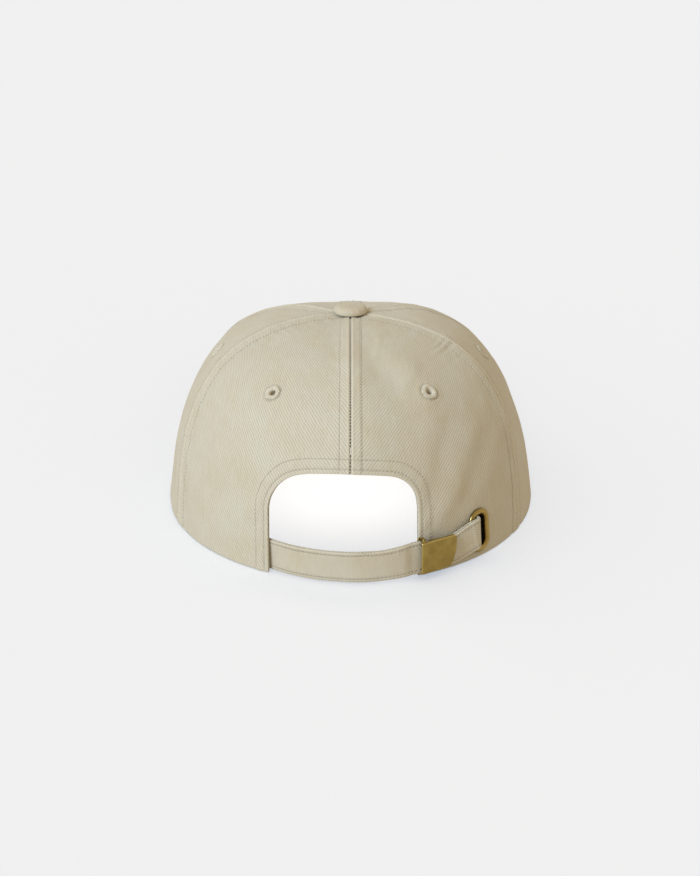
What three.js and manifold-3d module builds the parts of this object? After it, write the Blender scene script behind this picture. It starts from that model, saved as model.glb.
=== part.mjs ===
// Six-panel cotton twill baseball cap with a rear strap closure.
// Millimetres. +Z is up, +Y is forward (the visor side), +X is the wearer's right.
// Origin: under the middle of the whole cap's length and width, in the plane of the lower rim.
import * as THREE from 'three';
import { mergeVertices } from 'three/addons/utils/BufferGeometryUtils.js';
import Module from 'manifold-3d';

// ---------------------------------------------------------------- dimensions
// Everything is drawn from the apex axis; each mesh is then moved by ORIGIN_Y to the origin.
const ORIGIN_Y = -35.55;

const CROWN_H = 90;              // rim plane to apex
const HALF_W = 84;               // crown half width at the rim
const REAR_L = 98;               // apex axis to the rear of the rim
const FRONT_L = 103;             // apex axis to the front of the rim
const FRONT_RISE = 14;           // rim height at the middle of the visor root
const RISE_START = 118;          // degrees from the rear centre where the rim starts to rise
const APEX_R = 2.4;              // open radius under the top button
const PANEL_T = 0.9;             // twill with its fused backing
const SEAM_GAP = 0.3;            // between two neighbouring panels

// rear opening's edge, from the lower left to the lower right: [x, z]
const OPEN_EDGE = [
  [-36.4, 0], [-36.4, 12], [-36.4, 24], [-36.2, 31], [-34.6, 36.2], [-31.4, 41], [-26.5, 44.9],
  [-20, 47.1], [-12, 48.1], [-3.3, 48.5], [6, 48], [14, 47.1], [20.5, 45.6], [25.3, 42.4],
  [28.4, 38], [29.7, 32.5], [29.8, 24], [29.8, 12], [29.8, 0],
];
const OPEN_TOP = Math.max(...OPEN_EDGE.map(([, z]) => z));
const FACING_W = 9;              // facing round the rear opening

const GROMMET_TURN = 43.2;       // degrees from the rear centre
const GROMMET_Z = 12.6;
const GROMMET_HALF = [3.8, 7.4]; // half size of its opening
const GROMMET_R = 3.1;           // corner radius of its opening

// ------------------------------------------------------------------- basics
const RAD = Math.PI / 180;
const vec = (x, y, z) => new THREE.Vector3(x, y, z);
const basis = (x, y, z, origin) => new THREE.Matrix4().makeBasis(x, y, z).setPosition(origin);
const smooth = (from, to, x) => {
  const k = Math.min(1, Math.max(0, (x - from) / (to - from)));
  return k * k * (3 - 2 * k);
};
// straight-line interpolation in a table of [x, value], held level beyond its ends
function interpolate(table, x) {
  if (x <= table[0][0]) return table[0][1];
  for (let i = 1; i < table.length; i++) {
    const [x0, value0] = table[i - 1];
    const [x1, value1] = table[i];
    if (x <= x1) return value0 + (x - x0) / (x1 - x0) * (value1 - value0);
  }
  return table[table.length - 1][1];
}

// ------------------------------------------------------------ crown surface
// turn: degrees round from the rear centre, positive towards +X
// level: height as a fraction of CROWN_H
// climb: 0 at the rim plane to 1 at the apex, with even steps crowding towards the top
const CLIMB_POWER = 2.6;
const levelAt = (climb) => 1 - Math.pow(1 - climb, CLIMB_POWER);
const climbAtLevel = (level) => 1 - Math.pow(1 - level, 1 / CLIMB_POWER);
const climbAtHeight = (z) => climbAtLevel(z / CROWN_H);

// seams beside the rear centre swing away from it by SEAM_SWING degrees up to the apex
const SEAM_SWING = 6.5;
const seamTurns = (level) => [
  -180, -119, -(68 + SEAM_SWING * level), 0, 64 + SEAM_SWING * level, 119, 180,
];
const wrapTurn = (turn) => {
  if (turn > 180) return turn - 360;
  return turn < -180 ? turn + 360 : turn;
};
const rimRise = (turn) => FRONT_RISE * smooth(RISE_START, 180, Math.abs(wrapTurn(turn)));

// vertical profiles: superellipse powers in height and radius, and the bulge at mid height
const PROFILES = {
  side: { heightPower: 2.868, radiusPower: 2.594, bulge: -0.029 },
  rear: { heightPower: 2.977, radiusPower: 2.713, bulge: -0.002 },
  front: { heightPower: 2.514, radiusPower: 1.615, bulge: 0.04 },
};
// how far a panel's middle falls inside its seams, as fractions of the radius
const PANEL_DIP = { midHeight: 0.002, apex: 0.06, power: 1.2 };
const profileRadius = (level, { heightPower, radiusPower, bulge }) =>
  Math.pow(1 - Math.pow(level, heightPower), 1 / radiusPower)
  * (1 + bulge * 4 * level * (1 - level));

function surfacePoint(anyTurn, climb) {
  const turn = wrapTurn(anyTurn);
  const level = levelAt(climb);
  const seams = seamTurns(level);
  const next = seams.findIndex((seam, i) => i > 0 && turn <= seam);
  const across = (turn - seams[next - 1]) / (seams[next] - seams[next - 1]);
  const sin = Math.sin(turn * RAD);
  const cos = Math.cos(turn * RAD);
  const side = profileRadius(level, PROFILES.side);
  const end = profileRadius(level, cos > 0 ? PROFILES.rear : PROFILES.front);
  const dip = PANEL_DIP.midHeight * Math.sin(Math.PI * level) + PANEL_DIP.apex * level * level;
  const radius = (side + (end - side) * cos * cos)
    * (1 - dip * Math.pow(Math.sin(Math.PI * across), PANEL_DIP.power));
  const length = cos > 0 ? REAR_L : FRONT_L;
  return vec(HALF_W * radius * sin, -length * radius * cos, CROWN_H * level);
}
function crownNormal(turn, climb) {
  const below = Math.max(0, climb - 0.004);
  const around = surfacePoint(turn + 0.4, climb).sub(surfacePoint(turn - 0.4, climb));
  const upward = surfacePoint(turn, climb + 0.004).sub(surfacePoint(turn, below));
  return around.cross(upward).normalize();
}
// points at an offset from the surface, positive outward
const crownAt = (turn, climb, offset) =>
  surfacePoint(turn, climb).addScaledVector(crownNormal(turn, climb), offset);
const crownAtHeight = (turn, z, offset) => crownAt(turn, climbAtHeight(z), offset);

const axisDistance = (turn, climb) => {
  const point = surfacePoint(turn, climb);
  return Math.hypot(point.x, point.y);
};
const localRadius = (turn, climb) => Math.max(1, axisDistance(turn, climb));
// the climb at which the surface comes within a radius of the axis, by bisection
function climbAtRadius(turn, radius) {
  let low = 0.3;
  let high = 0.9999;
  for (let i = 0; i < 40; i++) {
    const middle = 0.5 * (low + high);
    if (axisDistance(turn, middle) > radius) low = middle;
    else high = middle;
  }
  return low;
}
// rear half of the crown addressed by x and z; the turn is found by Newton steps
function crownAtXZ(x, z, offset) {
  const climb = climbAtHeight(z);
  let turn = Math.asin(Math.max(-1, Math.min(1, x / HALF_W))) / RAD;
  for (let i = 0; i < 12; i++) {
    const error = surfacePoint(turn, climb).x - x;
    turn -= error / (surfacePoint(turn + 0.5, climb).x - surfacePoint(turn - 0.5, climb).x);
  }
  return crownAt(turn, climb, offset);
}
// unit vector along the rim, towards +turn
const rimwards = (normal) => vec(0, 0, 1).cross(normal).normalize();

// ------------------------------------------------------------- mesh helpers
// welds vertices, drops collapsed triangles and turns the faces outward
function weldOutward(geometry) {
  geometry.deleteAttribute('normal');
  geometry.deleteAttribute('uv');
  const welded = mergeVertices(geometry, 1e-4);
  const position = welded.attributes.position;
  const index = welded.index.array;
  const kept = [];
  let volume = 0;
  for (let i = 0; i < index.length; i += 3) {
    const [a, b, c] = index.subarray(i, i + 3);
    if (a === b || b === c || a === c) continue;
    const [p, q, r] = [a, b, c].map((n) => vec().fromBufferAttribute(position, n));
    volume += p.dot(q.cross(r));
    kept.push([a, b, c]);
  }
  welded.setIndex(kept.flatMap(([a, b, c]) => (volume < 0 ? [b, a, c] : [a, b, c])));
  welded.computeVertexNormals();
  return welded;
}
function geometryFrom(points, triangles) {
  const geometry = new THREE.BufferGeometry();
  const numbers = points.flatMap((p) => [p.x, p.y, p.z]);
  geometry.setAttribute('position', new THREE.Float32BufferAttribute(numbers, 3));
  geometry.setIndex(triangles);
  return weldOutward(geometry);
}
// closed shell between two grids of points, pointAt(i, j, layer) with layer 0 or 1
function gridSolid(ni, nj, pointAt) {
  const points = [];
  const triangles = [];
  const id = (i, j, layer) => (layer * (ni + 1) + i) * (nj + 1) + j;
  const quad = (a, b, c, d) => triangles.push(a, b, c, a, c, d);
  for (let layer = 0; layer < 2; layer++) {
    for (let i = 0; i <= ni; i++) {
      for (let j = 0; j <= nj; j++) points.push(pointAt(i, j, layer));
    }
  }
  for (let i = 0; i < ni; i++) {
    for (let j = 0; j < nj; j++) {
      quad(id(i, j, 0), id(i + 1, j, 0), id(i + 1, j + 1, 0), id(i, j + 1, 0));
      quad(id(i, j, 1), id(i, j + 1, 1), id(i + 1, j + 1, 1), id(i + 1, j, 1));
    }
  }
  for (let i = 0; i < ni; i++) {
    quad(id(i, 0, 0), id(i, 0, 1), id(i + 1, 0, 1), id(i + 1, 0, 0));
    quad(id(i, nj, 0), id(i + 1, nj, 0), id(i + 1, nj, 1), id(i, nj, 1));
  }
  for (let j = 0; j < nj; j++) {
    quad(id(0, j, 0), id(0, j + 1, 0), id(0, j + 1, 1), id(0, j, 1));
    quad(id(ni, j, 0), id(ni, j, 1), id(ni, j + 1, 1), id(ni, j + 1, 0));
  }
  return geometryFrom(points, triangles);
}
// Sweeps a closed 2D outline through stations, place(station, x, y) giving each point.
// flatten gives the outline as it lies at an end, for triangulating the end caps.
function sweep(outline, stations, place, { closed = false, flatten = (_, x, y) => [x, y] } = {}) {
  const size = outline.length;
  const count = stations.length;
  const points = stations.flatMap((station) => outline.map(([x, y]) => place(station, x, y)));
  const triangles = [];
  for (let i = 0; i < (closed ? count : count - 1); i++) {
    for (let j = 0; j < size; j++) {
      const row = i * size;
      const nextRow = ((i + 1) % count) * size;
      const k = (j + 1) % size;
      triangles.push(row + j, row + k, nextRow + k, row + j, nextRow + k, nextRow + j);
    }
  }
  const addCap = (end) => {
    const flat = outline.map(([x, y]) => new THREE.Vector2(...flatten(stations[end], x, y)));
    const sign = Math.sign(THREE.ShapeUtils.area(flat));
    const start = end * size;
    THREE.ShapeUtils.triangulateShape(flat.slice(), []).forEach((face) => {
      const agrees = THREE.ShapeUtils.area(face.map((i) => flat[i])) * sign > 0;
      const [a, b, c] = agrees ? face : [face[0], face[2], face[1]];
      if (end === 0) triangles.push(c, b, a);
      else triangles.push(start + a, start + b, start + c);
    });
  };
  if (!closed) [0, count - 1].forEach(addCap);
  return geometryFrom(points, triangles);
}
const vectors2 = (points) => points.map(([x, y]) => new THREE.Vector2(x, y));
const lathe = (points, segments) => new THREE.LatheGeometry(vectors2(points), segments);
// outline in x, y, with an optional hole, pushed along z
function prism(outline, from, to, hole) {
  const shape = new THREE.Shape(vectors2(outline));
  if (hole) shape.holes.push(new THREE.Path(vectors2(hole)));
  const geometry = new THREE.ExtrudeGeometry(shape, { depth: to - from, bevelEnabled: false });
  return geometry.translate(0, 0, from);
}
function circle(cx, cy, radius, segments, sweepAngle = 360) {
  const count = sweepAngle === 360 ? segments : segments + 1;
  return Array.from({ length: count }, (_, i) => {
    const angle = (sweepAngle * i / segments) * RAD;
    return [cx + radius * Math.cos(angle), cy + radius * Math.sin(angle)];
  });
}

const wasm = await Module();
wasm.setup();
function solid(geometry) {
  const mesh = mergeVertices(weldOutward(geometry));
  return new wasm.Manifold(new wasm.Mesh({
    numProp: 3,
    vertProperties: new Float32Array(mesh.attributes.position.array),
    triVerts: new Uint32Array(mesh.index.array),
  }));
}
const union = (first, ...others) =>
  others.reduce((whole, geometry) => whole.add(solid(geometry)), solid(first));
function toGeometry(manifold) {
  const mesh = manifold.getMesh();
  const geometry = new THREE.BufferGeometry();
  geometry.setAttribute('position', new THREE.BufferAttribute(mesh.vertProperties, 3));
  geometry.setIndex(Array.from(mesh.triVerts));
  return weldOutward(geometry);
}

// ---------------------------------------------------------------- materials
const cloth = (color) => ({ color, roughness: 0.9, metalness: 0 });
const KHAKI = cloth(0xb3a48c);
const KHAKI_INSIDE = cloth(0xa9a08c);
const TAPE = cloth(0xb8ab94);
const THREAD = cloth(0xb5a78f);
const BAND_CORE = cloth(0xd8d2c4);
const BOARD = { color: 0xe4e2dc, roughness: 0.6, metalness: 0 };
const BRASS = { color: 0xa08a5c, roughness: 0.42, metalness: 1 };
const STEEL = { color: 0xb9b6ae, roughness: 0.4, metalness: 1 };

const group = new THREE.Group();
function part(name, geometry, material) {
  const mesh = new THREE.Mesh(geometry, new THREE.MeshStandardMaterial(material));
  mesh.name = name;
  mesh.position.set(0, ORIGIN_Y, 0);
  group.add(mesh);
}

// ------------------------------------------------------------- crown panels
const PANEL_COLUMNS = 8;
const ROWS = 14;                 // facet rows from rim to apex, shared by panels and tapes
const EYELET_HOLE_R = 2.15;
const GROMMET_HOLE_GROW = 0.8;   // panel's hole beyond the grommet's opening
// [turn, level]
const EYELETS = {
  eyelet_rear_left: [-35, 0.81], eyelet_rear_right: [35, 0.81],
  eyelet_side_left: [-92, 0.78], eyelet_side_right: [91, 0.78],
  eyelet_front_left: [-149.5, 0.80], eyelet_front_right: [149.5, 0.80],
};
// in panel order, from the front centre round by the left
const PANELS = [
  'front_panel_left', 'side_panel_left', 'rear_panel_left',
  'rear_panel_right', 'side_panel_right', 'front_panel_right',
];

// frame on an eyelet: x along the rim, y outward
function eyeletFrame(turn, level) {
  const climb = climbAtLevel(level);
  const normal = crownNormal(turn, climb);
  const x = rimwards(normal);
  return basis(x, normal, x.clone().cross(normal), surfacePoint(turn, climb));
}
// frame on the grommet: x along the rim towards +turn, y up the panel, z outward
const grommetNormal = crownNormal(GROMMET_TURN, climbAtHeight(GROMMET_Z));
const grommetX = rimwards(grommetNormal);
const grommetY = grommetNormal.clone().cross(grommetX);
const grommetFrame = basis(
  grommetX, grommetY, grommetNormal, crownAtHeight(GROMMET_TURN, GROMMET_Z, 0));
const onGrommet = (x, y, z) => vec(x, y, z).applyMatrix4(grommetFrame);
// the grommet opening's rounded rectangle, moved outward by grow
function grommetOutline(grow, cornerSteps) {
  const [cx, cy] = GROMMET_HALF.map((half) => half - GROMMET_R);
  return [[1, 1], [-1, 1], [-1, -1], [1, -1]].flatMap(([sx, sy], corner) =>
    Array.from({ length: cornerSteps + 1 }, (_, i) => {
      const angle = 90 * (corner + i / cornerSteps) * RAD;
      const radius = GROMMET_R + grow;
      return [sx * cx + radius * Math.cos(angle), sy * cy + radius * Math.sin(angle)];
    }));
}

function panelGeometry(k) {
  return gridSolid(PANEL_COLUMNS, ROWS, (i, j, layer) => {
    const turnAt = (climb) => {
      const seams = seamTurns(levelAt(climb));
      const middle = 0.5 * (seams[k] + seams[k + 1]);
      const gap = (SEAM_GAP / 2) / localRadius(middle, climb) / RAD;
      return seams[k] + gap + (seams[k + 1] - seams[k] - 2 * gap) * i / PANEL_COLUMNS;
    };
    const rim = rimRise(turnAt(0));
    const bottom = climbAtHeight(rim);
    const top = climbAtRadius(turnAt(0.98), APEX_R);
    const climb = bottom + (top - bottom) * j / ROWS;
    const turn = turnAt(climb);
    const point = crownAt(turn, climb, [0, -PANEL_T][layer]);
    if (j === 0) point.z = rimRise(turn);
    return point;
  });
}
// cutter for the rear opening, run on below the rim and pushed along y
function openingTool() {
  const edge = OPEN_EDGE.map(([x, z]) => [x, z === 0 ? -6 : z]);
  const tool = prism(edge, 40, 130);
  return solid(tool.applyMatrix4(basis(vec(1, 0, 0), vec(0, 0, 1), vec(0, -1, 0), vec(0, 0, 0))));
}
PANELS.forEach((name, k) => {
  let panel = solid(panelGeometry(k));
  Object.values(EYELETS).forEach(([turn, level]) => {
    const seams = seamTurns(level);
    if (turn <= seams[k] || turn >= seams[k + 1]) return;
    const hole = new THREE.CylinderGeometry(EYELET_HOLE_R, EYELET_HOLE_R, 8, 12);
    panel = panel.subtract(solid(hole.applyMatrix4(eyeletFrame(turn, level))));
  });
  if (name.startsWith('rear')) panel = panel.subtract(openingTool());
  if (name === 'rear_panel_right') {
    const hole = prism(grommetOutline(GROMMET_HOLE_GROW, 4), -5, 5);
    panel = panel.subtract(solid(hole.applyMatrix4(grommetFrame)));
  }
  part(name, toGeometry(panel), KHAKI);
});

// --------------------------------------------------------------- seam tapes
const TAPE_HALF_W = 5;
const TAPE_TAPER = 0.34;         // most half width near the apex, as a share of the radius
const TAPE_TOP_R = 6.6;          // radius where the seam tapes stop
const TAPE_OFFSETS = [-1.35, -1.85];
const TAPE_RIM_GAP = 2;
const TAPE_FACING_GAP = 1.6;
// in seam order
const TAPES = ['front_centre', 'front_left', 'rear_left', 'rear_centre', 'rear_right', 'front_right'];

TAPES.forEach((place, k) => {
  const rim = rimRise(seamTurns(0)[k]);
  const startZ = place === 'rear_centre'
    ? OPEN_TOP + FACING_W + TAPE_FACING_GAP : rim + TAPE_RIM_GAP;
  const start = climbAtHeight(startZ);
  const end = climbAtRadius(seamTurns(0.99)[k], TAPE_TOP_R);
  // the tape's rows fall on the panels' rows
  const panelStart = climbAtHeight(rim);
  const panelEnd = climbAtRadius(seamTurns(1)[k], APEX_R);
  const rows = [start];
  for (let j = 1; j < ROWS; j++) {
    const climb = panelStart + (panelEnd - panelStart) * j / ROWS;
    if (climb > start + 0.01 && climb < end - 0.01) rows.push(climb);
  }
  rows.push(end);
  part(`seam_tape_${place}`, gridSolid(2, rows.length - 1, (i, j, layer) => {
    const turn = seamTurns(levelAt(rows[j]))[k];
    const radius = localRadius(turn, rows[j]);
    const halfWidth = Math.min(TAPE_HALF_W, radius * TAPE_TAPER);
    return crownAt(turn + (i - 1) * halfWidth / radius / RAD, rows[j], TAPE_OFFSETS[layer]);
  }), TAPE);
});

// ----------------------------------------------------- sweatband and its core
const BAND_H = 32;
// stations round the band by turn, from right of the rear opening to left of it
const BAND_TURNS = [
  21.8, 25, 30, 36, 42, 48, 54, 60, 66, 72, 80, 88, 96, 104, 112, 120, 128, 136, 144, 152, 160,
  168, 176, 184, 192, 200, 208, 216, 224, 232, 240, 248, 256, 264, 272, 280, 288, 294, 298, 302,
  306, 310, 314, 319, 324, 328, 333.2,
];
// the band stands off the rear panels to leave room for the strap's ends: [turn, distance]
const POCKET = [
  [-88, 0], [-74, 1.4], [-60, 3.8], [-46, 6.0], [-34, 6.2], [-25, 4.4], [0, 4],
  [20, 4.0], [48, 4.1], [60, 2.7], [80, 0],
];
// the stand-off fades out between these heights on the band
const POCKET_FADE = [20, 29];
const pocketDepth = (turn, height) =>
  interpolate(POCKET, wrapTurn(turn)) * (1 - smooth(...POCKET_FADE, height));
const bandFlat = (turn, offset, height) => [offset - pocketDepth(turn, height), height];
function bandPoint(turn, offset, height) {
  const [flatOffset] = bandFlat(turn, offset, height);
  const point = crownAtHeight(turn, rimRise(turn) + height, flatOffset);
  point.z = Math.max(point.z, 0);
  return point;
}
// one face of the band's section, top to bottom: [offset from the crown, height on the band]
const bandFace = (offset, top, bottom) => [top, 27, 20, bottom].map((z) => [offset, z]);
const bandSweep = (outline, turns) => sweep(outline, turns, bandPoint, { flatten: bandFlat });

// a U in section, closed at the rim
part('sweatband', bandSweep([
  ...bandFace(-2.3, BAND_H, 0.6), ...bandFace(-5.4, BAND_H, 0.6).reverse(),
  ...bandFace(-4.7, BAND_H, 1.4), ...bandFace(-3.0, BAND_H, 1.4).reverse(),
], BAND_TURNS), KHAKI_INSIDE);
part('sweatband_core', bandSweep([
  ...bandFace(-3.6, BAND_H - 1, 1.9), ...bandFace(-4.1, BAND_H - 1, 1.9).reverse(),
], BAND_TURNS.slice(1, -1)), BAND_CORE);

// ------------------------------------------------------ rear opening's facing
const FACING_INSET = 0.7;        // its inner edge, back from the opening's edge
const FACING_OFFSETS = [-1.45, -1.95];
// the rear opening's edge, moved outward by grow
function openingPath(grow) {
  return OPEN_EDGE.map(([x, z], i) => {
    const [x0, z0] = OPEN_EDGE[Math.max(0, i - 1)];
    const [x1, z1] = OPEN_EDGE[Math.min(OPEN_EDGE.length - 1, i + 1)];
    const length = Math.hypot(x1 - x0, z1 - z0);
    return [x - (z1 - z0) / length * grow, z + (x1 - x0) / length * grow];
  });
}
function facing() {
  const inner = openingPath(FACING_INSET);
  const outer = openingPath(FACING_W);
  return gridSolid(inner.length - 1, 2, (i, j, layer) => {
    const [x, z] = inner[i].map((from, axis) => from + (outer[i][axis] - from) * j / 2);
    return crownAtXZ(x, Math.max(0.5, z), FACING_OFFSETS[layer]);
  });
}
part('rear_opening_facing', facing(), KHAKI_INSIDE);

// -------------------------------------------------------------------- visor
// side: -1 at the right end of the visor to 1 at the left; out: 0 at the root to 1 at the edge
const VISOR_ROOT = 62;           // degrees each side of the front centre
const VISOR_ROOT_OFFSET = 0.4;   // root outside the crown
const VISOR_HALF_W = 79;
const VISOR_BACK_Y = 48;         // where the outline is widest
const VISOR_TIP_Y = 172;
const VISOR_POWER = 2 / 2.3;     // superellipse power of the outline
const VISOR_END = { start: 0.84, shrink: 0.8 }; // outline running back into the crown
const VISOR_ROOT_Z = 2.7;        // root above the rim
const VISOR_EDGE_Z = 3.3;        // edge height at the ends
const VISOR_RISE = 20;           // further edge height at the middle
const VISOR_ARCH = 2.2;          // bulge between root and edge
const BOARD_T = 2;
const CLOTH_OUT = [0, 0.22, 0.48, 0.74, 0.95, 1];
const BOARD_OUT = [0.03, 0.26, 0.5, 0.74, 0.93];
const BOARD_SIDE = 0.92;         // the board's reach to each side

function visorMiddle(side, fullOut) {
  const turn = 180 + VISOR_ROOT * side;
  const rise = rimRise(turn);
  const root = crownAtHeight(turn, rise, VISOR_ROOT_OFFSET);
  const sin = Math.sin(-side * 90 * RAD);
  const cos = Math.max(0, Math.cos(-side * 90 * RAD));
  const x = VISOR_HALF_W * Math.sign(sin) * Math.pow(Math.abs(sin), VISOR_POWER);
  const y = VISOR_BACK_Y + (VISOR_TIP_Y - VISOR_BACK_Y) * Math.pow(cos, VISOR_POWER);
  const { start, shrink } = VISOR_END;
  const endShare = Math.max(0, (Math.abs(side) - start) / (1 - start));
  const out = fullOut * (1 - shrink * endShare ** 2);
  const rootZ = rise + VISOR_ROOT_Z;
  const edgeZ = VISOR_EDGE_Z + VISOR_RISE * (1 - (x / VISOR_HALF_W) ** 2);
  const arch = VISOR_ARCH * Math.sin(Math.PI * out) * (1 - side * side);
  return vec(root.x + (x - root.x) * out, root.y + (y - root.y) * out,
    rootZ + (edgeZ - rootZ) * out + arch);
}
function visorNormal(side, out) {
  const across = visorMiddle(Math.min(1, side + 0.01), out)
    .sub(visorMiddle(Math.max(-1, side - 0.01), out));
  const outward = visorMiddle(side, Math.min(1, out + 0.02))
    .sub(visorMiddle(side, Math.max(0, out - 0.02)));
  const normal = across.cross(outward).normalize();
  return normal.z < 0 ? normal.negate() : normal;
}
const visorPoint = (side, out, offset) =>
  visorMiddle(side, out).addScaledVector(visorNormal(side, out), offset);
// offsets of the upper and lower face from the visor's middle surface
const visorCloth = (offsets, edgeOffsets) => gridSolid(20, 5, (i, j, layer) =>
  visorPoint(i / 10 - 1, CLOTH_OUT[j], (j === 5 ? edgeOffsets : offsets)[layer]));

part('visor_top_fabric', visorCloth([2.2, 1.3], [0.95, 0.15]), KHAKI);
part('visor_board', gridSolid(18, 4, (i, j, layer) =>
  visorPoint(BOARD_SIDE * (i / 9 - 1), BOARD_OUT[j], [BOARD_T / 2, -BOARD_T / 2][layer])), BOARD);
part('visor_bottom_fabric', visorCloth([-1.3, -2.2], [-0.15, -0.95]), KHAKI);

// ------------------------------------------------------------------ eyelets
// [radius, height outward from the panel's face]
const EYELET_SECTION = [
  [1.15, 0.6], [1.7, 0.95], [2.9, 0.85], [3.6, 0.35], [1.75, 0.3], [1.75, -1.3],
  [2.8, -1.35], [2.6, -1.75], [1.15, -1.6], [1.15, 0.6],
];
Object.entries(EYELETS).forEach(([name, [turn, level]]) => {
  // welded before it is turned, while the two ends of the lathe still coincide
  const eyelet = weldOutward(lathe(EYELET_SECTION, 12));
  part(name, weldOutward(eyelet.applyMatrix4(eyeletFrame(turn, level))), THREAD);
});

// --------------------------------------------------------------- top button
// [radius, height above the apex]
const BUTTON_SHELL = [
  [0, 3.6], [3, 3.4], [5.6, 2.6], [7.1, 1.3], [7.45, 0.6], [7.0, 0.35], [2.3, 0.35],
  [2.3, 1.9], [0, 1.9],
];
const BUTTON_PRONG = [[0, 1.6], [1.6, 1.6], [1.6, -2.3], [5.0, -2.4], [5.0, -3.0], [0, -3.0]];
const apexLathe = (section, segments) =>
  weldOutward(lathe(section, segments).rotateX(Math.PI / 2).translate(0, 0, CROWN_H));
part('top_button_shell', apexLathe(BUTTON_SHELL, 20), KHAKI);
part('top_button_prong', apexLathe(BUTTON_PRONG, 16), STEEL);

// -------------------------------------------------------------------- strap
const STRAP_HALF_W = 6.6;
const STRAP_T = 1.3;
const STRAP_OUTER_R = 60.759;    // outer face radius of the strap's arc
const STRAP_INNER_R = STRAP_OUTER_R - STRAP_T;
const STRAP_MID_R = STRAP_INNER_R + STRAP_T / 2;
const STRAP_CENTRE = vec(4.708, -40.224, 8.45);
const STRAP_TILT = 1.2 * RAD;    // the strap rises towards +X
const STRAP_LEFT = -53.9;        // arc angle of the end behind the left rear panel
const STRAP_END = 9.3;           // right end, along the strap from the lever pin
const STRAP_STEPS = 22;
const TAIL_START = 16.6;         // where the free end starts, just past the lever
const TAIL_STEPS = 12;
const PIN_ANGLE = 26.4;          // degrees along the arc to the lever pin

const strapX = vec(Math.cos(STRAP_TILT), 0, Math.sin(STRAP_TILT));
const strapY = vec(0, 1, 0);
const strapUp = vec(-Math.sin(STRAP_TILT), 0, Math.cos(STRAP_TILT));
const strapOutward = (angle) => strapX.clone().multiplyScalar(Math.sin(angle * RAD))
  .addScaledVector(strapY, -Math.cos(angle * RAD));
const strapPoint = (angle, radius, up) => STRAP_CENTRE.clone()
  .addScaledVector(strapOutward(angle), radius).addScaledVector(strapUp, up);
// arc angle at a distance along the strap from the lever pin
const strapAngle = (distance) => PIN_ANGLE + distance / STRAP_MID_R / RAD;
const strapSection = (inner, outer) => [
  [inner, -STRAP_HALF_W], [outer, -STRAP_HALF_W], [outer, STRAP_HALF_W], [inner, STRAP_HALF_W],
];
const evenSteps = (from, to, steps) =>
  Array.from({ length: steps + 1 }, (_, i) => from + (to - from) * i / steps);

part('closure_strap', sweep(strapSection(STRAP_INNER_R, STRAP_OUTER_R),
  evenSteps(STRAP_LEFT, strapAngle(STRAP_END), STRAP_STEPS), strapPoint), KHAKI);

// free end of the strap: over the grommet's near side and down through it
function strapTail() {
  const curve = new THREE.CatmullRomCurve3([
    strapPoint(strapAngle(TAIL_START), STRAP_MID_R, 0),
    strapPoint(strapAngle(TAIL_START + 1.8), STRAP_MID_R, 0.2),
    onGrommet(-8.0, -0.8, 2.7), onGrommet(-5.6, -0.05, 3.35), onGrommet(-3.7, 0.2, 3.1),
    onGrommet(-2.0, 0.2, 1.2), onGrommet(-0.2, 0, -1.2), onGrommet(1.7, 0, -3.4),
  ], false, 'centripetal');
  const place = (k, outward, up) => {
    const across = strapUp.clone().multiplyScalar(1 - k).addScaledVector(grommetY, k).normalize();
    const normal = curve.getTangent(k).cross(across).normalize();
    // it narrows a little where it curls into the grommet
    const width = up * (1 - 0.07 * smooth(0.45, 0.75, k));
    return curve.getPoint(k).addScaledVector(normal, outward).addScaledVector(across, width);
  };
  return sweep(strapSection(-STRAP_T / 2, STRAP_T / 2), evenSteps(0, 1, TAIL_STEPS), place);
}
part('strap_tail', strapTail(), KHAKI);

// ------------------------------------------------------------------- buckle
// frame: x along the strap, y outward, z across; origin inside the strap's inner face at the pin
const BUCKLE_R = STRAP_INNER_R - 1.05; // arc radius of the frame's origin
const PIN_H = 3.6;               // lever pin above the frame's origin
const PIN_R = 0.5;
const PIN_HOLE = circle(0, PIN_H, PIN_R + 0.1, 12);
const CHEEK = [6.75, 7.1];       // z range of the ears and of the lever's flanges
const LEVER_L = 16.2;
const buckleY = strapOutward(PIN_ANGLE);
const buckleX = strapX.clone().multiplyScalar(Math.cos(PIN_ANGLE * RAD))
  .addScaledVector(strapY, Math.sin(PIN_ANGLE * RAD));
const buckleFrame = basis(
  buckleX, buckleY, buckleX.clone().cross(buckleY), strapPoint(PIN_ANGLE, BUCKLE_R, 0));
const onBuckle = (geometry) => weldOutward(geometry.applyMatrix4(buckleFrame));
const sidePrism = (side, outline, near, far, hole) =>
  (side > 0 ? prism(outline, near, far, hole) : prism(outline, -far, -near, hole));

// folded fabric tab that holds the buckle to the right rear panel
const TAB_HALF_T = 0.3;
const TAB_HALF_W = 4.3;
// middle line of the fold before it is bent to the strap's arc: [x, y]
const TAB_LINE = [
  [9.9, -4.3], [4.9, -4.35], [0.4, -4.35], [-1.3, -4.05], [-2.45, -2.75], [-3.7, -2.4],
  [-4.8, -2.75], [-5.25, -3.6], [-4.9, -4.4], [-3.5, -5.05], [-1.1, -5.3], [4.9, -5.3],
  [9.9, -5.3],
];
function tab() {
  const line = TAB_LINE.map(([x, y]) => [x, y - x * x / (2 * BUCKLE_R)]);
  const offsetLine = (offset) => line.map(([x, y], i) => {
    const [x0, y0] = line[Math.max(0, i - 1)];
    const [x1, y1] = line[Math.min(line.length - 1, i + 1)];
    const length = Math.hypot(x1 - x0, y1 - y0);
    return [x - (y1 - y0) / length * offset, y + (x1 - x0) / length * offset];
  });
  const outline = [...offsetLine(TAB_HALF_T), ...offsetLine(-TAB_HALF_T).reverse()];
  return prism(outline, -TAB_HALF_W, TAB_HALF_W);
}
part('buckle_tab', onBuckle(tab()), KHAKI);

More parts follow.
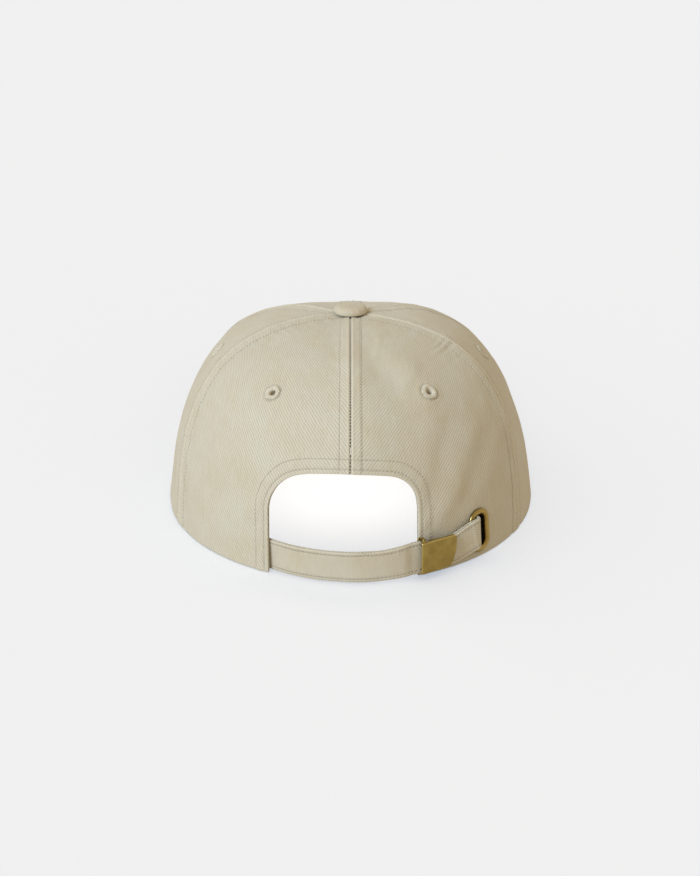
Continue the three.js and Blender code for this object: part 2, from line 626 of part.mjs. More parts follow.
// back plate, side arms, tab bar and two ears
function frame() {
  const arc = (y) => evenSteps(-2.4, 13.8, 5)
    .map((x) => [x, Math.sqrt((BUCKLE_R + y) ** 2 - x * x) - BUCKLE_R]);
  const arm = [
    [-1.4, 0.65], [-2.4, 0.65], [-4.2, -3.2], [-4.2, -3.9], [-2.9, -3.9], [-2.9, -3.2],
    [-1.85, 0.3], [-1.4, 0.3],
  ];
  const earR = 0.9;
  const ear = [
    [-earR, 0.45], [earR, 0.45], [earR, PIN_H],
    ...circle(0, PIN_H, earR, 8, 180).slice(1, -1), [-earR, PIN_H],
  ];
  const bar = [[-4.2, -3.9], [-2.9, -3.9], [-2.9, -3.2], [-4.2, -3.2]];
  return toGeometry(union(
    prism([...arc(0.25), ...arc(0.75).reverse()], -7.05, 7.05),
    ...[1, -1].flatMap((side) => [
      sidePrism(side, arm, 4.6, 5.4),
      sidePrism(side, ear, ...CHEEK, PIN_HOLE),
    ]),
    prism(bar, -5.4, 5.4),
  ));
}
part('buckle_frame', onBuckle(frame()), BRASS);

// barrel on the pin, cover plate sloping down to the free end, two side flanges
function lever() {
  const end = LEVER_L + 0.3;     // cut back to the plan outline below
  const barrelHalf = 6.55;
  const cover = [[-0.3, 4.78], [end, 0.7], [end, 1.2], [-0.3, 5.28]];
  const web = [[-0.3, 4.0], [0.9, 4.0], [0.9, 4.7], [-0.3, 5.0]];
  const flange = [[1.8, 2.1], [end, 0.5], [end, 0.9], [1.8, 4.6]];
  // plan outline with a slightly convex free end: [x, -z]
  const plan = [
    [-2, -8], [end - 1.1, -8], [end - 0.65, -6.4], [end - 0.4, -3.4], [LEVER_L, 0],
    [end - 0.4, 3.4], [end - 0.65, 6.4], [end - 1.1, 8], [-2, 8],
  ];
  const planFrame = basis(vec(1, 0, 0), vec(0, 0, -1), vec(0, 1, 0), vec(0, 0, 0));
  return toGeometry(union(
    prism(cover, -CHEEK[1], CHEEK[1]),
    prism(web, -barrelHalf, barrelHalf),
    prism(circle(0, PIN_H, 0.95, 16), -barrelHalf, barrelHalf),
    ...[1, -1].map((side) => sidePrism(side, flange, ...CHEEK)),
  ).subtract(solid(prism(PIN_HOLE, -9, 9)))
    .intersect(solid(prism(plan, -1, 9).applyMatrix4(planFrame))));
}
part('buckle_lever', onBuckle(lever()), BRASS);

// [radius, distance along the pin]
const PIN_SECTION = [
  [0, -7.5], [0.75, -7.4], [0.75, -7.18], [PIN_R, -7.18],
  [PIN_R, 7.18], [0.75, 7.18], [0.75, 7.4], [0, 7.5],
];
const pin = lathe(PIN_SECTION, 12).rotateX(Math.PI / 2).translate(0, PIN_H, 0);
part('buckle_pin', onBuckle(pin), BRASS);

// ------------------------------------------------------------------ grommet
// sections: [distance out from the opening's edge, height outward from the panel's face]
const GROMMET_FACE = [
  [0, 0.7], [0.5, 1.05], [1.4, 1.15], [2.2, 0.85], [2.6, 0.35], [0.5, 0.35], [0.5, -2.3], [0, -2.3],
];
const GROMMET_WASHER = [[0.85, -1.45], [2.3, -1.55], [2.3, -2.05], [0.85, -2.05]];
function grommetRing(section, cornerSteps) {
  const stations = [...Array(4 * (cornerSteps + 1)).keys()];
  const place = (i, grow, height) => onGrommet(...grommetOutline(grow, cornerSteps)[i], height);
  return sweep(section, stations, place, { closed: true });
}
// flanged face with a neck through the panel, and the washer inside
part('grommet_face', grommetRing(GROMMET_FACE, 5), BRASS);
part('grommet_washer', grommetRing(GROMMET_WASHER, 4), BRASS);

export default group;
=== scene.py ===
"""A six-panel cloth cap: crown, visor, rear opening, and a strap with a lever buckle.

The crown's axis is upright at x 0, y AXIS_Y. The visor points to +y. The rear opening, its
strap and the camera are on the -y side, with the grommet at +x. "Left" is -x, "right" is +x.
"""
import math

import bmesh
import bpy
import numpy as np
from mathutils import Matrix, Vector


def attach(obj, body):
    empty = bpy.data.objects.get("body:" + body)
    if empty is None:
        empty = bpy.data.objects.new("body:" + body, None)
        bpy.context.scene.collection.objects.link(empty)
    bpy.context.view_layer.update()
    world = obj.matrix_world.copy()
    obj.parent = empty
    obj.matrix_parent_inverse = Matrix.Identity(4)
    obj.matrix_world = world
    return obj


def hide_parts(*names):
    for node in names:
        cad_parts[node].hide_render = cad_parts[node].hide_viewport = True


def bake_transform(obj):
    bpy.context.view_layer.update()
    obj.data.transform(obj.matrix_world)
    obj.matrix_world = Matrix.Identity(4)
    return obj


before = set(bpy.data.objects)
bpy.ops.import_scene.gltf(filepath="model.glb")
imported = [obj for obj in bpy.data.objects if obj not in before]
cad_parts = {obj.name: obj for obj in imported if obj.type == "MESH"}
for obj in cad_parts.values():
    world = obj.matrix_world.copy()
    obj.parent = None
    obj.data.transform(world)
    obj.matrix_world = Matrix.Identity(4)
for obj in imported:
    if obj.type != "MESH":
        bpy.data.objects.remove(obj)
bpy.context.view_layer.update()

# Shapes are drawn in millimetres with the crown's axis at x 0, y 0 and moved when a mesh is made.
# turn: degrees round the axis, 0 at the rear (-y), positive towards +x
# level: place up the crown, 0 at z 0 and 1 at the top, with finer steps near the top
MM = 0.001
DEG = math.pi / 180
AXIS_Y = -35.55
CROWN_H = 90.0
CROWN_HALF_W = 84.0
CROWN_REAR = 98.0        # from the axis to the rear rim
CROWN_FRONT = 103.0      # from the axis to the front rim
PANEL_T = 0.9
APEX_R = 2.4             # the panels stop at this radius from the axis
LEVEL_POWER = 2.6
OPEN_TOP = 48.5          # top of the rear opening
FACING_W = 9.0
TURNED_ROWS = (2.1, 6.5)     # distances of the two stitch rows from the opening's edge
BAND_H = 32.0
PANELS = ["front_panel_left", "side_panel_left", "rear_panel_left",
          "rear_panel_right", "side_panel_right", "front_panel_right"]
# the panels' seven edges: turn at the foot, and what it gains by the top
SEAM_TURN = [-180, -119, -68, 0, 64, 119, 180]
SEAM_LEAN = [0, 0, -6.5, 0, 6.5, 0, 0]
SEAM_OPEN = np.array([0.35, 0.4, 0.45, 1.0, 0.45, 0.4, 0.35])    # how far each stands open
SEAM_GAP = np.array([0.05, 0.05, 0.05, 0.13, 0.05, 0.05, 0.05])  # half gap left at each
# turn, z
EYELETS = {
    "eyelet_rear_left": (-35, 72.9), "eyelet_rear_right": (35, 72.9),
    "eyelet_side_left": (-92, 70.2), "eyelet_side_right": (91, 70.2),
    "eyelet_front_left": (-149.5, 72.0), "eyelet_front_right": (149.5, 72.0),
}
# x, z round the rear opening from its left foot to its right one
OPEN_EDGE = np.array([
    [-36.4, 0], [-36.4, 12], [-36.4, 24], [-36.2, 31], [-34.6, 36.2], [-31.4, 41],
    [-26.5, 44.9], [-20, 47.1], [-12, 48.1], [-3.3, 48.5], [6, 48], [14, 47.1], [20.5, 45.6],
    [25.3, 42.4], [28.4, 38], [29.7, 32.5], [29.8, 24], [29.8, 12], [29.8, 0]], float)
# soft folds at the rear: x, z of one end, x, z of the other, half width, height
FOLDS = [
    (5, 87.5, 20, 78.5, 3.2, -0.75), (13, 87.5, 28, 80.5, 2.6, 0.5), (-6, 87, -9, 62, 4.5, -0.35),
    (13, 81, 21, 74, 7.5, -1.0), (-9, 83.5, -15, 79, 7.5, -0.8), (25, 80, 34, 72, 5.0, 0.5),
    (41, 22, 54, 53, 4.6, 0.55), (35, 34, 43, 60, 4.4, -0.55), (49, 24, 61, 50, 4.6, -0.5),
    (60, 30, 68, 52, 5.0, 0.35), (-60, 26, -50, 34, 9.0, -0.55), (-46, 14, -42, 34, 4.5, 0.35),
    (-54, 12, -66, 22, 6.0, 0.35), (-30, 56, -44, 66, 8.0, 0.35), (34, 16, 40, 26, 3.0, 0.25),
    (-70, 40, -62, 62, 7.0, -0.35), (20, 55, 30, 66, 7.0, -0.3), (-14, 60, -10, 74, 6.0, -0.3),
]
# round swellings and hollows near the top: centre, radius, height
BUMPS = [
    ((10, 3, 88.5), 5.0, 0.7), ((-6, 3, 89), 4.0, 0.35), ((0, 14, 88), 9.0, -0.9),
    ((-16, 8, 86), 9.0, -0.6), ((20, 8, 86), 8.0, -0.3),
]
# how the crest sags over the front: x, height
CREST = np.array([
    [-75, 0], [-66, -0.5], [-52, -0.6], [-39, -0.9], [-14, -1.3], [-5, -2.0], [5, -2.0],
    [11, -1.35], [21, -1.2], [32, -0.95], [42, -2.0], [51, -1.9], [63, -1.5], [70, -1.4],
    [78, -0.5], [84, 0]])


# ------------------------------------------------------------------ numbers and paths
def stack(*values):
    return np.stack(np.broadcast_arrays(*values), -1)


def noise(seed, *point):
    """Smooth lattice noise from -1 to 1, one cell per unit."""
    point = stack(*point).astype(float)
    cell = np.floor(point).astype(np.int64)
    part = point - cell
    x, y, z = np.moveaxis(part * part * (3 - 2 * part), -1, 0)

    def corner(i, j, k):
        value = ((cell[..., 0] + i) * 374761 + (cell[..., 1] + j) * 668265
                 + (cell[..., 2] + k) * 974711 + seed * 127413) & 0x7FFFFFFF
        value = ((value ^ (value >> 13)) * 12741 + 789221) & 0x7FFFFFFF
        value = ((value ^ (value >> 11)) * 60493 + 19990303) & 0x7FFFFFFF
        value = value ^ (value >> 15)
        return (value & 0xFFFF) / 65535.0

    def line(j, k):
        return corner(0, j, k) * (1 - x) + corner(1, j, k) * x

    def sheet(k):
        return line(0, k) * (1 - y) + line(1, k) * y

    return (sheet(0) * (1 - z) + sheet(1) * z) * 2 - 1


def fbm(seed, *point):
    """Two octaves of noise."""
    finer = [value * 2 + 13.7 for value in point]
    return (noise(seed, *point) + 0.5 * noise(seed + 1, *finer)) / 1.5


def smooth(start, end, value):
    share = np.clip((value - start) / (end - start), 0, 1)
    return share * share * (3 - 2 * share)


def bell(value, width):
    return np.exp(-(value / width) ** 2)


def unit(vector):
    return vector / np.maximum(1e-12, np.linalg.norm(vector, axis=-1, keepdims=True))


def run_length(path):
    """Distance along a path at each of its points."""
    steps = np.linalg.norm(np.diff(path, axis=0), axis=1)
    return np.concatenate([[0], np.cumsum(steps)])


def lookup(where, run, values):
    """Rows of values, given at the stations run, read off at where."""
    return np.stack([np.interp(where, run, column) for column in values.T], -1)


def resample(path, count):
    run = run_length(path)
    return lookup(np.linspace(0, run[-1], count), run, path)


def with_ends(points):
    """A path with one more point mirrored out at each end."""
    return np.vstack([2 * points[0] - points[1], points, 2 * points[-1] - points[-2]])


def catmull(points, steps):
    """Smooth curve through the points, in so many steps between neighbours."""
    padded = with_ends(points)
    curve = []
    for i in range(len(points) - 1):
        p0, p1, p2, p3 = padded[i:i + 4]
        for x in np.linspace(0, 1, steps, endpoint=False):
            curve.append(0.5 * (2 * p1 + (p2 - p0) * x + (2 * p0 - 5 * p1 + 4 * p2 - p3) * x * x
                                + (3 * p1 - p0 - 3 * p2 + p3) * x ** 3))
    curve.append(points[-1])
    return np.array(curve)


def side_normals(path):
    """Normals to the left of a flat path."""
    tangent = unit(np.gradient(path, axis=0))
    return np.stack([-tangent[:, 1], tangent[:, 0]], 1)


# ------------------------------------------------------------------ crown surface
def profile(frac, power, root, swell):
    """Relative radius at a share of the crown's height."""
    return np.maximum(0, 1 - frac ** power) ** (1 / root) * (1 + swell * 4 * frac * (1 - frac))


def frac_at(level):
    return 1 - (1 - np.clip(level, 0, 1)) ** LEVEL_POWER


def level_at(z):
    return 1 - (1 - np.clip(z / CROWN_H, 0, 1)) ** (1 / LEVEL_POWER)


def seams(frac):
    """Turns of the seven panel edges at a share of the height."""
    frac = np.asarray(frac, float)
    return np.stack([foot + lean * frac for foot, lean in zip(SEAM_TURN, SEAM_LEAN)])


def wrap(turn):
    turn = np.asarray(turn, float)
    return np.where(np.abs(turn) > 180, (turn + 180) % 360 - 180, turn)


def panel_at(turn, frac):
    """Wrapped turn, the panel's number, and the turns of its two seams."""
    edges = seams(frac)
    turn = wrap(turn)
    panel = sum((turn > edges[i]).astype(int) for i in range(1, 6))
    left = np.take_along_axis(edges, panel[None], 0)[0]
    right = np.take_along_axis(edges, panel[None] + 1, 0)[0]
    return turn, panel, left, right


def crown(turn, level):
    """Point of the crown's plain outer face."""
    turn, level = np.broadcast_arrays(turn, level)
    frac = frac_at(level)
    turn, _, left, right = panel_at(turn, frac)
    across = np.clip((turn - left) / (right - left), 0, 1)
    cosine = np.cos(turn * DEG)
    endness = cosine * cosine
    side = profile(frac, 2.868, 2.594, -0.029)
    end = np.where(cosine > 0, profile(frac, 2.977, 2.713, -0.002),
                   profile(frac, 2.514, 1.615, 0.04))
    radius = (1 - endness) * side + endness * end
    # each panel is a little flatter between its seams
    flat = 0.002 * np.sin(np.pi * frac) + 0.06 * frac * frac
    radius = radius * (1 - flat * np.sin(np.pi * across) ** 1.2)
    depth = np.where(cosine > 0, CROWN_REAR, CROWN_FRONT)
    return stack(CROWN_HALF_W * radius * np.sin(turn * DEG), -depth * radius * cosine,
                 CROWN_H * frac)


def normal(turn, level):
    turn, level = np.broadcast_arrays(turn, level)
    below = np.maximum(0, level - 0.004)
    above = np.minimum(0.999, level + 0.004)
    return unit(np.cross(crown(turn + 0.4, level) - crown(turn - 0.4, level),
                         crown(turn, above) - crown(turn, below)))


def tangent_frame(turn, level):
    """Point of the crown with its sideways, upward and outward directions."""
    out = normal(turn, level)
    across = unit(np.cross([0, 0, 1.0], out))
    return crown(turn, level), across, np.cross(out, across), out


def mm_per_degree(turn, level):
    return np.linalg.norm(crown(turn + 0.2, level) - crown(turn - 0.2, level), axis=-1) / 0.4


def rim_z(turn):
    """The lower edge rises towards the middle of the front."""
    return 14 * smooth(118, 180, np.abs(wrap(turn)))


def level_at_radius(turn, radius):
    below, above = 0.3, 0.9999
    for _ in range(40):
        middle = 0.5 * (below + above)
        point = crown(turn, middle)
        if math.hypot(point[0], point[1]) > radius:
            below = middle
        else:
            above = middle
    return below


LEVELS = np.linspace(0, 0.9995, 500)
ARC = run_length(crown(np.zeros_like(LEVELS), LEVELS))


def arc(level):
    """Length up the rear centre line."""
    return np.interp(level, LEVELS, ARC)


def arc_level(length):
    return np.interp(length, ARC, LEVELS)


def panel_widths(panel):
    edges = seams(frac_at(LEVELS))
    share = np.linspace(0, 1, 48)[:, None] * 0.9996 + 0.0002
    points = crown(edges[panel] + (edges[panel + 1] - edges[panel]) * share, LEVELS[None])
    return np.linalg.norm(np.diff(points, axis=0), axis=-1).sum(0)


WIDTHS = [panel_widths(panel) for panel in range(6)]


def rear_half(side, level):
    """Turn and width from the rear centre seam to the next seam, on the side of the sign."""
    edges = seams(frac_at(level))
    left = np.asarray(side) < 0
    reach = np.where(left, -edges[2], edges[4])
    width = np.where(left, np.interp(level, LEVELS, WIDTHS[2]),
                     np.interp(level, LEVELS, WIDTHS[3]))
    return reach, width


def gore(turn, level):
    """Flat coordinates of the rear panels: across from the centre seam and up from the rim."""
    reach, width = rear_half(turn, level)
    return turn / reach * width, arc(level)


def gore_turn(across, level):
    reach, width = rear_half(across, level)
    return across / width * reach


def turn_at_x(x, level):
    """Turn at which the rear of the crown reaches x."""
    below, above = np.full_like(x, -80.0), np.full_like(x, 80.0)
    for _ in range(36):
        middle = 0.5 * (below + above)
        beyond = crown(middle, level)[..., 0] > x
        above = np.where(beyond, middle, above)
        below = np.where(beyond, below, middle)
    return 0.5 * (below + above)


# the opening's edge, in flat coordinates of the rear panels, and its outward normals
edge_xz = resample(catmull(OPEN_EDGE, 24), 520)
edge_level = level_at(edge_xz[:, 1])
EDGE_GORE = stack(*gore(turn_at_x(edge_xz[:, 0], edge_level), edge_level))
EDGE_OUT = side_normals(EDGE_GORE)


def edge_distance(across, up):
    """Distance to the opening's edge, worked in batches to spare memory."""
    edge = EDGE_GORE[::3]
    nearest = np.empty(len(across))
    for start in range(0, len(across), 4000):
        part = slice(start, start + 4000)
        gaps = np.hypot(across[part, None] - edge[:, 0], up[part, None] - edge[:, 1])
        nearest[part] = gaps.min(1)
    return nearest


# the grommet's oval hole in the right rear panel
GROMMET_TURN = 43.2
GROMMET_Z = 12.6
GROMMET_HALF = np.array([3.8, 7.4])
GROMMET_CORNER = 3.1
GROM_AT, GROM_X, GROM_Y, GROM_OUT = tangent_frame(GROMMET_TURN, level_at(GROMMET_Z))


def grommet_point(x, y, z):
    return GROM_AT + GROM_X * x + GROM_Y * y + GROM_OUT * z


def in_grommet(points, margin):
    apart = points - GROM_AT
    flat = np.abs(np.stack([apart @ GROM_X, apart @ GROM_Y], -1))
    past = np.maximum(flat - (GROMMET_HALF - GROMMET_CORNER), 0)
    near = np.abs(apart @ GROM_OUT) < 8
    return (np.hypot(past[..., 0], past[..., 1]) < GROMMET_CORNER + margin) & near


def drape(turn, level):
    """Slow shape of the cloth along the normal, shared by every layer of the crown."""
    points = crown(turn, level)
    x, y, z = np.moveaxis(points, -1, 0)
    height = 0.40 * fbm(3, x / 31, y / 31, z / 31) + 0.22 * fbm(9, x / 9, y / 9, z / 16)
    rear = smooth(25, -10, y)
    for x0, z0, x1, z1, width, fold in FOLDS:
        run_x, run_z = x1 - x0, z1 - z0
        share = ((x - x0) * run_x + (z - z0) * run_z) / (run_x * run_x + run_z * run_z)
        share = np.clip(share, 0, 1)
        away = np.hypot(x - x0 - share * run_x, z - z0 - share * run_z)
        height = height + fold * bell(away, width) * rear
    # drag lines up the sides
    side = smooth(30, 60, np.abs(x)) * smooth(75, 40, z)
    height = height + 0.3 * side * fbm(21, x / 40, y / 11, z / 45)
    for centre, radius, bump in BUMPS:
        height = height + bump * bell(np.linalg.norm(points - centre, axis=-1), radius)
    # calmer round the grommet, beside the opening and along the rim
    grommet = np.linalg.norm(points - GROM_AT, axis=-1)
    beside = np.minimum(np.hypot(x + 38, z - 10), np.hypot(x - 33, z - 10))
    calm = np.maximum(0.12, smooth(8, 26, grommet)) * np.maximum(0.25, smooth(4, 22, beside))
    calm = np.where(y < 0, calm, 1.0) * np.maximum(0.35, smooth(0, 14, z - rim_z(turn)))
    crest = np.mean([np.interp(x + shift, *CREST.T) for shift in (-6, -3, 0, 3, 6)], axis=0)
    crest = crest * smooth(-22, 8, y + 12 * smooth(45, 70, x)) * smooth(20, 42, z)
    return (height * calm + crest) * smooth(1.5, 5, np.hypot(x, y))


def layer(turn, level, offset):
    """Points of a cloth layer, offset along the normal from the draped outer face."""
    return crown(turn, level) + normal(turn, level) * (drape(turn, level) + offset)[..., None]


def row_offset(radius):
    """Distance of the stitch rows from a seam, drawing in near the top."""
    return np.minimum(4.9, 0.50 * radius)


def seam_relief(panel, seam, gap, row, up):
    """Height from a seam and the stitch row beside it, with lighter rubbed lips and painted shade
    in the seam's gap and the row's dip.
    """
    opened = SEAM_OPEN[seam]
    height = -(0.35 + 0.35 * opened) * bell(gap, 0.42) + 0.17 * bell(gap - 1.1, 0.6)
    height = height + 0.26 * (1 - smooth(row - 0.3, row + 1.1, gap))
    height = height - np.where(seam == 2, 0.13, 0.27) * bell(gap - row, 0.55)
    # cloth drawn up between the stitches
    height = height + 0.22 * fbm(31, up / 3.6, gap / 8, seam * 5.0) * bell(gap - row, 4.0)
    height = height + 0.10 * noise(5, up / 1.9, gap / 5, seam * 3.0) * bell(gap - row, 2.2)
    # lighter rubbed lips; painted shade in the open seam's gap and along the stitch row's dip
    wear = 0.55 * bell(gap - 0.85, 0.5) * (0.6 + 0.4 * opened) - 1.3 * bell(gap, 0.34) * opened
    wear = wear - np.where(seam == 2, 0.08, 0.20) * bell(gap - row, 0.45)
    wear = wear + 0.12 * bell(gap - 2.6, 1.5)
    wear = wear + 0.30 * ((panel == 3) & (seam == 3)) * bell(gap - 0.75, 0.3)
    return height, wear


def tucks(up, gap, pitch, seed):
    return np.sin(2 * np.pi * up / pitch + 2.2 * noise(seed, up / 7, gap / 9, 0))


def tuck_relief(panel, frac, from_left, from_right, up):
    """Fans of short tucks inside the upper outer seams of the two rear panels."""
    right = (panel == 3) * smooth(0.74, 0.86, frac) * (1 - smooth(0.975, 0.99, frac))
    right = right * bell(from_right - 6, 9) * (0.5 + noise(19, up / 9, 3.0, 1.0))
    left = (panel == 2) * smooth(0.8, 0.9, frac) * (1 - smooth(0.98, 0.99, frac))
    left = left * bell(from_left - 5, 7)
    return (0.24 * right * tucks(up, from_right, 4.4, 8)
            + 0.10 * left * tucks(up, from_left, 5.2, 18))


def opening_relief(turn, level, rear):
    """Height of the opening's turned edge with its two rows, with a lighter rubbed edge and painted
    shade along the rows.
    """
    across, up = gore(turn, level)
    edge = np.full(turn.shape, 99.0)
    edge[rear] = edge_distance(across[rear], up[rear])
    height = -0.30 * bell(edge, 0.45) + 0.24 * (1 - smooth(6.4, 7.8, edge))
    height = height - 0.26 * sum(bell(edge - row, 0.5) for row in TURNED_ROWS)
    height = height + 0.16 * fbm(41, across / 3.2, up / 3.2, 7.0) * bell(edge - 4.3, 4.2)
    # lighter rubbed edge; painted shade along the two stitch rows
    wear = 0.75 * bell(edge, 0.6)
    for row, depth in zip(TURNED_ROWS, (0.20, 0.18)):
        wear = wear - depth * bell(edge - row, 0.45)
    return height, wear


def relief(turn, level):
    """Height of the outer face over the draped surface, and a per-point value: above 0 lighter
    where rubbed, below 0 painted shade in seam gaps, stitch dips and round the eyelets.
    """
    turn, level = np.broadcast_arrays(turn, level)
    points = crown(turn, level)
    x, y, z = np.moveaxis(points, -1, 0)
    frac = frac_at(level)
    turn, panel, left, right = panel_at(turn, frac)
    radius = np.hypot(x, y)
    scale = mm_per_degree(turn, level)
    from_left, from_right = (turn - left) * scale, (right - turn) * scale
    at_left = from_left < from_right
    up = arc(level)
    height, wear = seam_relief(panel, np.where(at_left, panel, panel + 1),
                               np.where(at_left, from_left, from_right), row_offset(radius), up)
    height = height + tuck_relief(panel, frac, from_left, from_right, up)
    edge_height, edge_wear_and_shade = opening_relief(turn, level, (panel == 2) | (panel == 3))
    over_rim = z - rim_z(turn)
    height = height + edge_height - 0.28 * bell(over_rim, 0.5)
    wear = wear + edge_wear_and_shade + 0.5 * bell(over_rim, 0.8)
    for eyelet_turn, eyelet_z in EYELETS.values():
        centre = crown(eyelet_turn, level_at(eyelet_z))
        away = np.linalg.norm(points - centre, axis=-1)
        around = np.arctan2(z - centre[2], (turn - eyelet_turn) * scale)
        height = height - 0.35 * bell(away, 3.2) + 0.22 * bell(away - 5.2, 1.4)
        height = height + 0.06 * bell(away - 4, 4) * np.sin(7 * around)
        # painted shade in a thin ring round each eyelet's outer edge
        wear = wear - 0.6 * bell(away - 4.15, 0.38)
    away = np.linalg.norm(points - GROM_AT, axis=-1)
    height = height * np.where(away < 13, smooth(6, 13, away), 1)
    height = height + 0.05 * fbm(51, x / 2.6, y / 2.6, z / 2.6)
    fade = smooth(2.5, 7, radius)
    return height * fade, wear * fade + 0.10 * fbm(61, x / 14, y / 14, z / 14)


def stitch_base(turn, level):
    """The line on the outer face that stitches lie on."""
    return layer(turn, level, relief(turn, level)[0] + 0.02)


# ------------------------------------------------------------------ mesh makers
def finish_mesh(name, piece, material, slot, node=None, body="crown"):
    """Make an object of (points, faces, uv or None, rubbing and painted light per point); no body
    leaves out the ride.
    """
    points, faces, uv, wear = piece
    mesh = bpy.data.meshes.new(name)
    points = np.array(points, float)
    points[:, 1] += AXIS_Y
    points[:, 2] = np.maximum(points[:, 2], 0.02)
    mesh.from_pydata((points * MM).tolist(), [], [list(map(int, face)) for face in faces])
    if uv is not None:
        uv_map = mesh.uv_layers.new(name="UVMap")
        loops = np.empty(len(mesh.loops), np.int32)
        mesh.loops.foreach_get("vertex_index", loops)
        uv_map.data.foreach_set("uv", np.asarray(uv, np.float32)[loops].ravel())
    # per point: above 0 lighter where rubbed (a painted highlight on the grommet's crest), below 0
    # painted shade
    attribute = mesh.attributes.new("wear", "FLOAT", "POINT")
    attribute.data.foreach_set("value", np.asarray(wear, np.float32))
    clean_mesh(mesh)
    mesh.polygons.foreach_set("use_smooth", np.ones(len(mesh.polygons), bool))
    mesh.materials.append(material)
    made = bpy.data.objects.new(name, mesh)
    bpy.context.scene.collection.objects.link(made)
    if node:
        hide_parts(node)
    if body:
        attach(made, body)
    return made


def clean_mesh(mesh, merge=None):
    """Turn the faces outward, after merging points closer than merge metres."""
    work = bmesh.new()
    work.from_mesh(mesh)
    if merge:
        bmesh.ops.remove_doubles(work, verts=work.verts, dist=merge)
    bmesh.ops.recalc_face_normals(work, faces=work.faces)
    work.to_mesh(mesh)
    work.free()


class Bag:
    """Collects closed bits into one mesh."""

    def __init__(self):
        self.points, self.faces, self.uv, self.wear, self.count = [], [], [], [], 0

    def add(self, points, faces, uv=None, wear=0.0):
        size = len(points)
        self.points.append(points)
        self.faces += [tuple(int(i) + self.count for i in face) for face in faces]
        self.uv.append(np.zeros((size, 2)) if uv is None else uv)
        self.wear.append(np.broadcast_to(wear, (size,)))
        self.count += size

    def make(self, name, material, slot, **options):
        piece = (np.vstack(self.points), self.faces, np.vstack(self.uv),
                 np.concatenate(self.wear))
        return finish_mesh(name, piece, material, slot, **options)


def shell(front, back, uv=None, wear=None, mask=None):
    """Closed shell between two grids of one size; mask says which faces are kept."""
    rows, columns = front.shape[:2]
    count = rows * columns
    index = np.arange(count).reshape(rows, columns)
    if mask is None:
        mask = np.ones((rows - 1, columns - 1), bool)
    p00, p10, p11, p01 = index[:-1, :-1], index[1:, :-1], index[1:, 1:], index[:-1, 1:]
    quads = np.stack([p00, p10, p11, p01], -1)[mask]
    faces = [quads, quads[:, ::-1] + count]
    padded = np.pad(mask, 1)
    for start, end, neighbour in (
            (p00, p01, padded[:-2, 1:-1]), (p11, p10, padded[2:, 1:-1]),
            (p10, p00, padded[1:-1, :-2]), (p01, p11, padded[1:-1, 2:])):
        rim = mask & ~neighbour
        start, end = start[rim], end[rim]
        faces.append(np.stack([start, start + count, end + count, end], -1))
    faces = np.vstack(faces)
    used, renumbered = np.unique(faces, return_inverse=True)
    points = np.vstack([front.reshape(-1, 3), back.reshape(-1, 3)])[used]
    if uv is not None:
        uv = np.vstack([uv.reshape(-1, 2)] * 2)[used]
    worn_and_shaded = np.zeros(count) if wear is None else wear.ravel()
    return points, renumbered.reshape(faces.shape), uv, np.append(worn_and_shaded, np.zeros(count))[used]


def strip(first, second, sides):
    """Faces between two rings, each given by the number of its first point."""
    pairs = [(j, (j + 1) % sides) for j in range(sides)]
    return [(first + j, first + k, second + k, second + j) for j, k in pairs]


def torus_faces(rings, sides):
    faces = []
    for i in range(rings):
        faces += strip(i * sides, (i + 1) % rings * sides, sides)
    return faces


def tube(path, radius, up, sides, height=None, taper=1.0):
    """Closed bar along a path; height is its radius towards up."""
    height = radius if height is None else height
    count = len(path)
    taper = np.broadcast_to(taper, count)
    tangent = unit(np.gradient(path, axis=0))
    side = unit(np.cross(tangent, up))
    up = unit(np.cross(side, tangent))
    angle = np.arange(sides) / sides * 2 * np.pi
    spread = (side[:, None] * (radius * np.cos(angle))[None, :, None]
              + up[:, None] * (height * np.sin(angle))[None, :, None])
    rings = path[:, None] + spread * taper[:, None, None]
    points = np.vstack([rings.reshape(-1, 3), path[0] - tangent[0] * radius * 0.3 * taper[0],
                        path[-1] + tangent[-1] * radius * 0.3 * taper[-1]])
    faces = []
    for i in range(count - 1):
        faces += strip(i * sides, (i + 1) * sides, sides)
    last = (count - 1) * sides
    for j in range(sides):
        k = (j + 1) % sides
        faces.append((count * sides, k, j))
        faces.append((count * sides + 1, last + j, last + k))
    return points, faces


def thread(bag, start, end, out, radius, lift, wear):
    """One stitch, bowed up out of the cloth and diving at both ends."""
    share = np.array([0, 0.16, 0.5, 0.84, 1.0])[:, None]
    rise = np.array([-0.30, 0.35, 1.0, 0.35, -0.30])[:, None] * lift
    path = start * (1 - share) + end * share + out * rise
    bag.add(*tube(path, radius, out, 6, height=radius * 0.85,
                  taper=[0.62, 0.95, 1.0, 0.95, 0.62]), wear=wear)


def needle_hole_shade(bag, centre, out, tangent, radius):
    """Small dark flat bead sunk in the cloth: painted shade inside a needle hole."""
    side = unit(np.cross(out, tangent))
    angle = (np.arange(6) / 6 * 2 * np.pi)[:, None]
    ring = centre + tangent * radius * np.cos(angle) + side * radius * 0.8 * np.sin(angle)
    points = np.vstack([ring, centre + out * 0.07, centre - out * 0.12])
    faces = [(i, (i + 1) % 6, 6) for i in range(6)] + [((i + 1) % 6, i, 7) for i in range(6)]
    bag.add(points, faces)


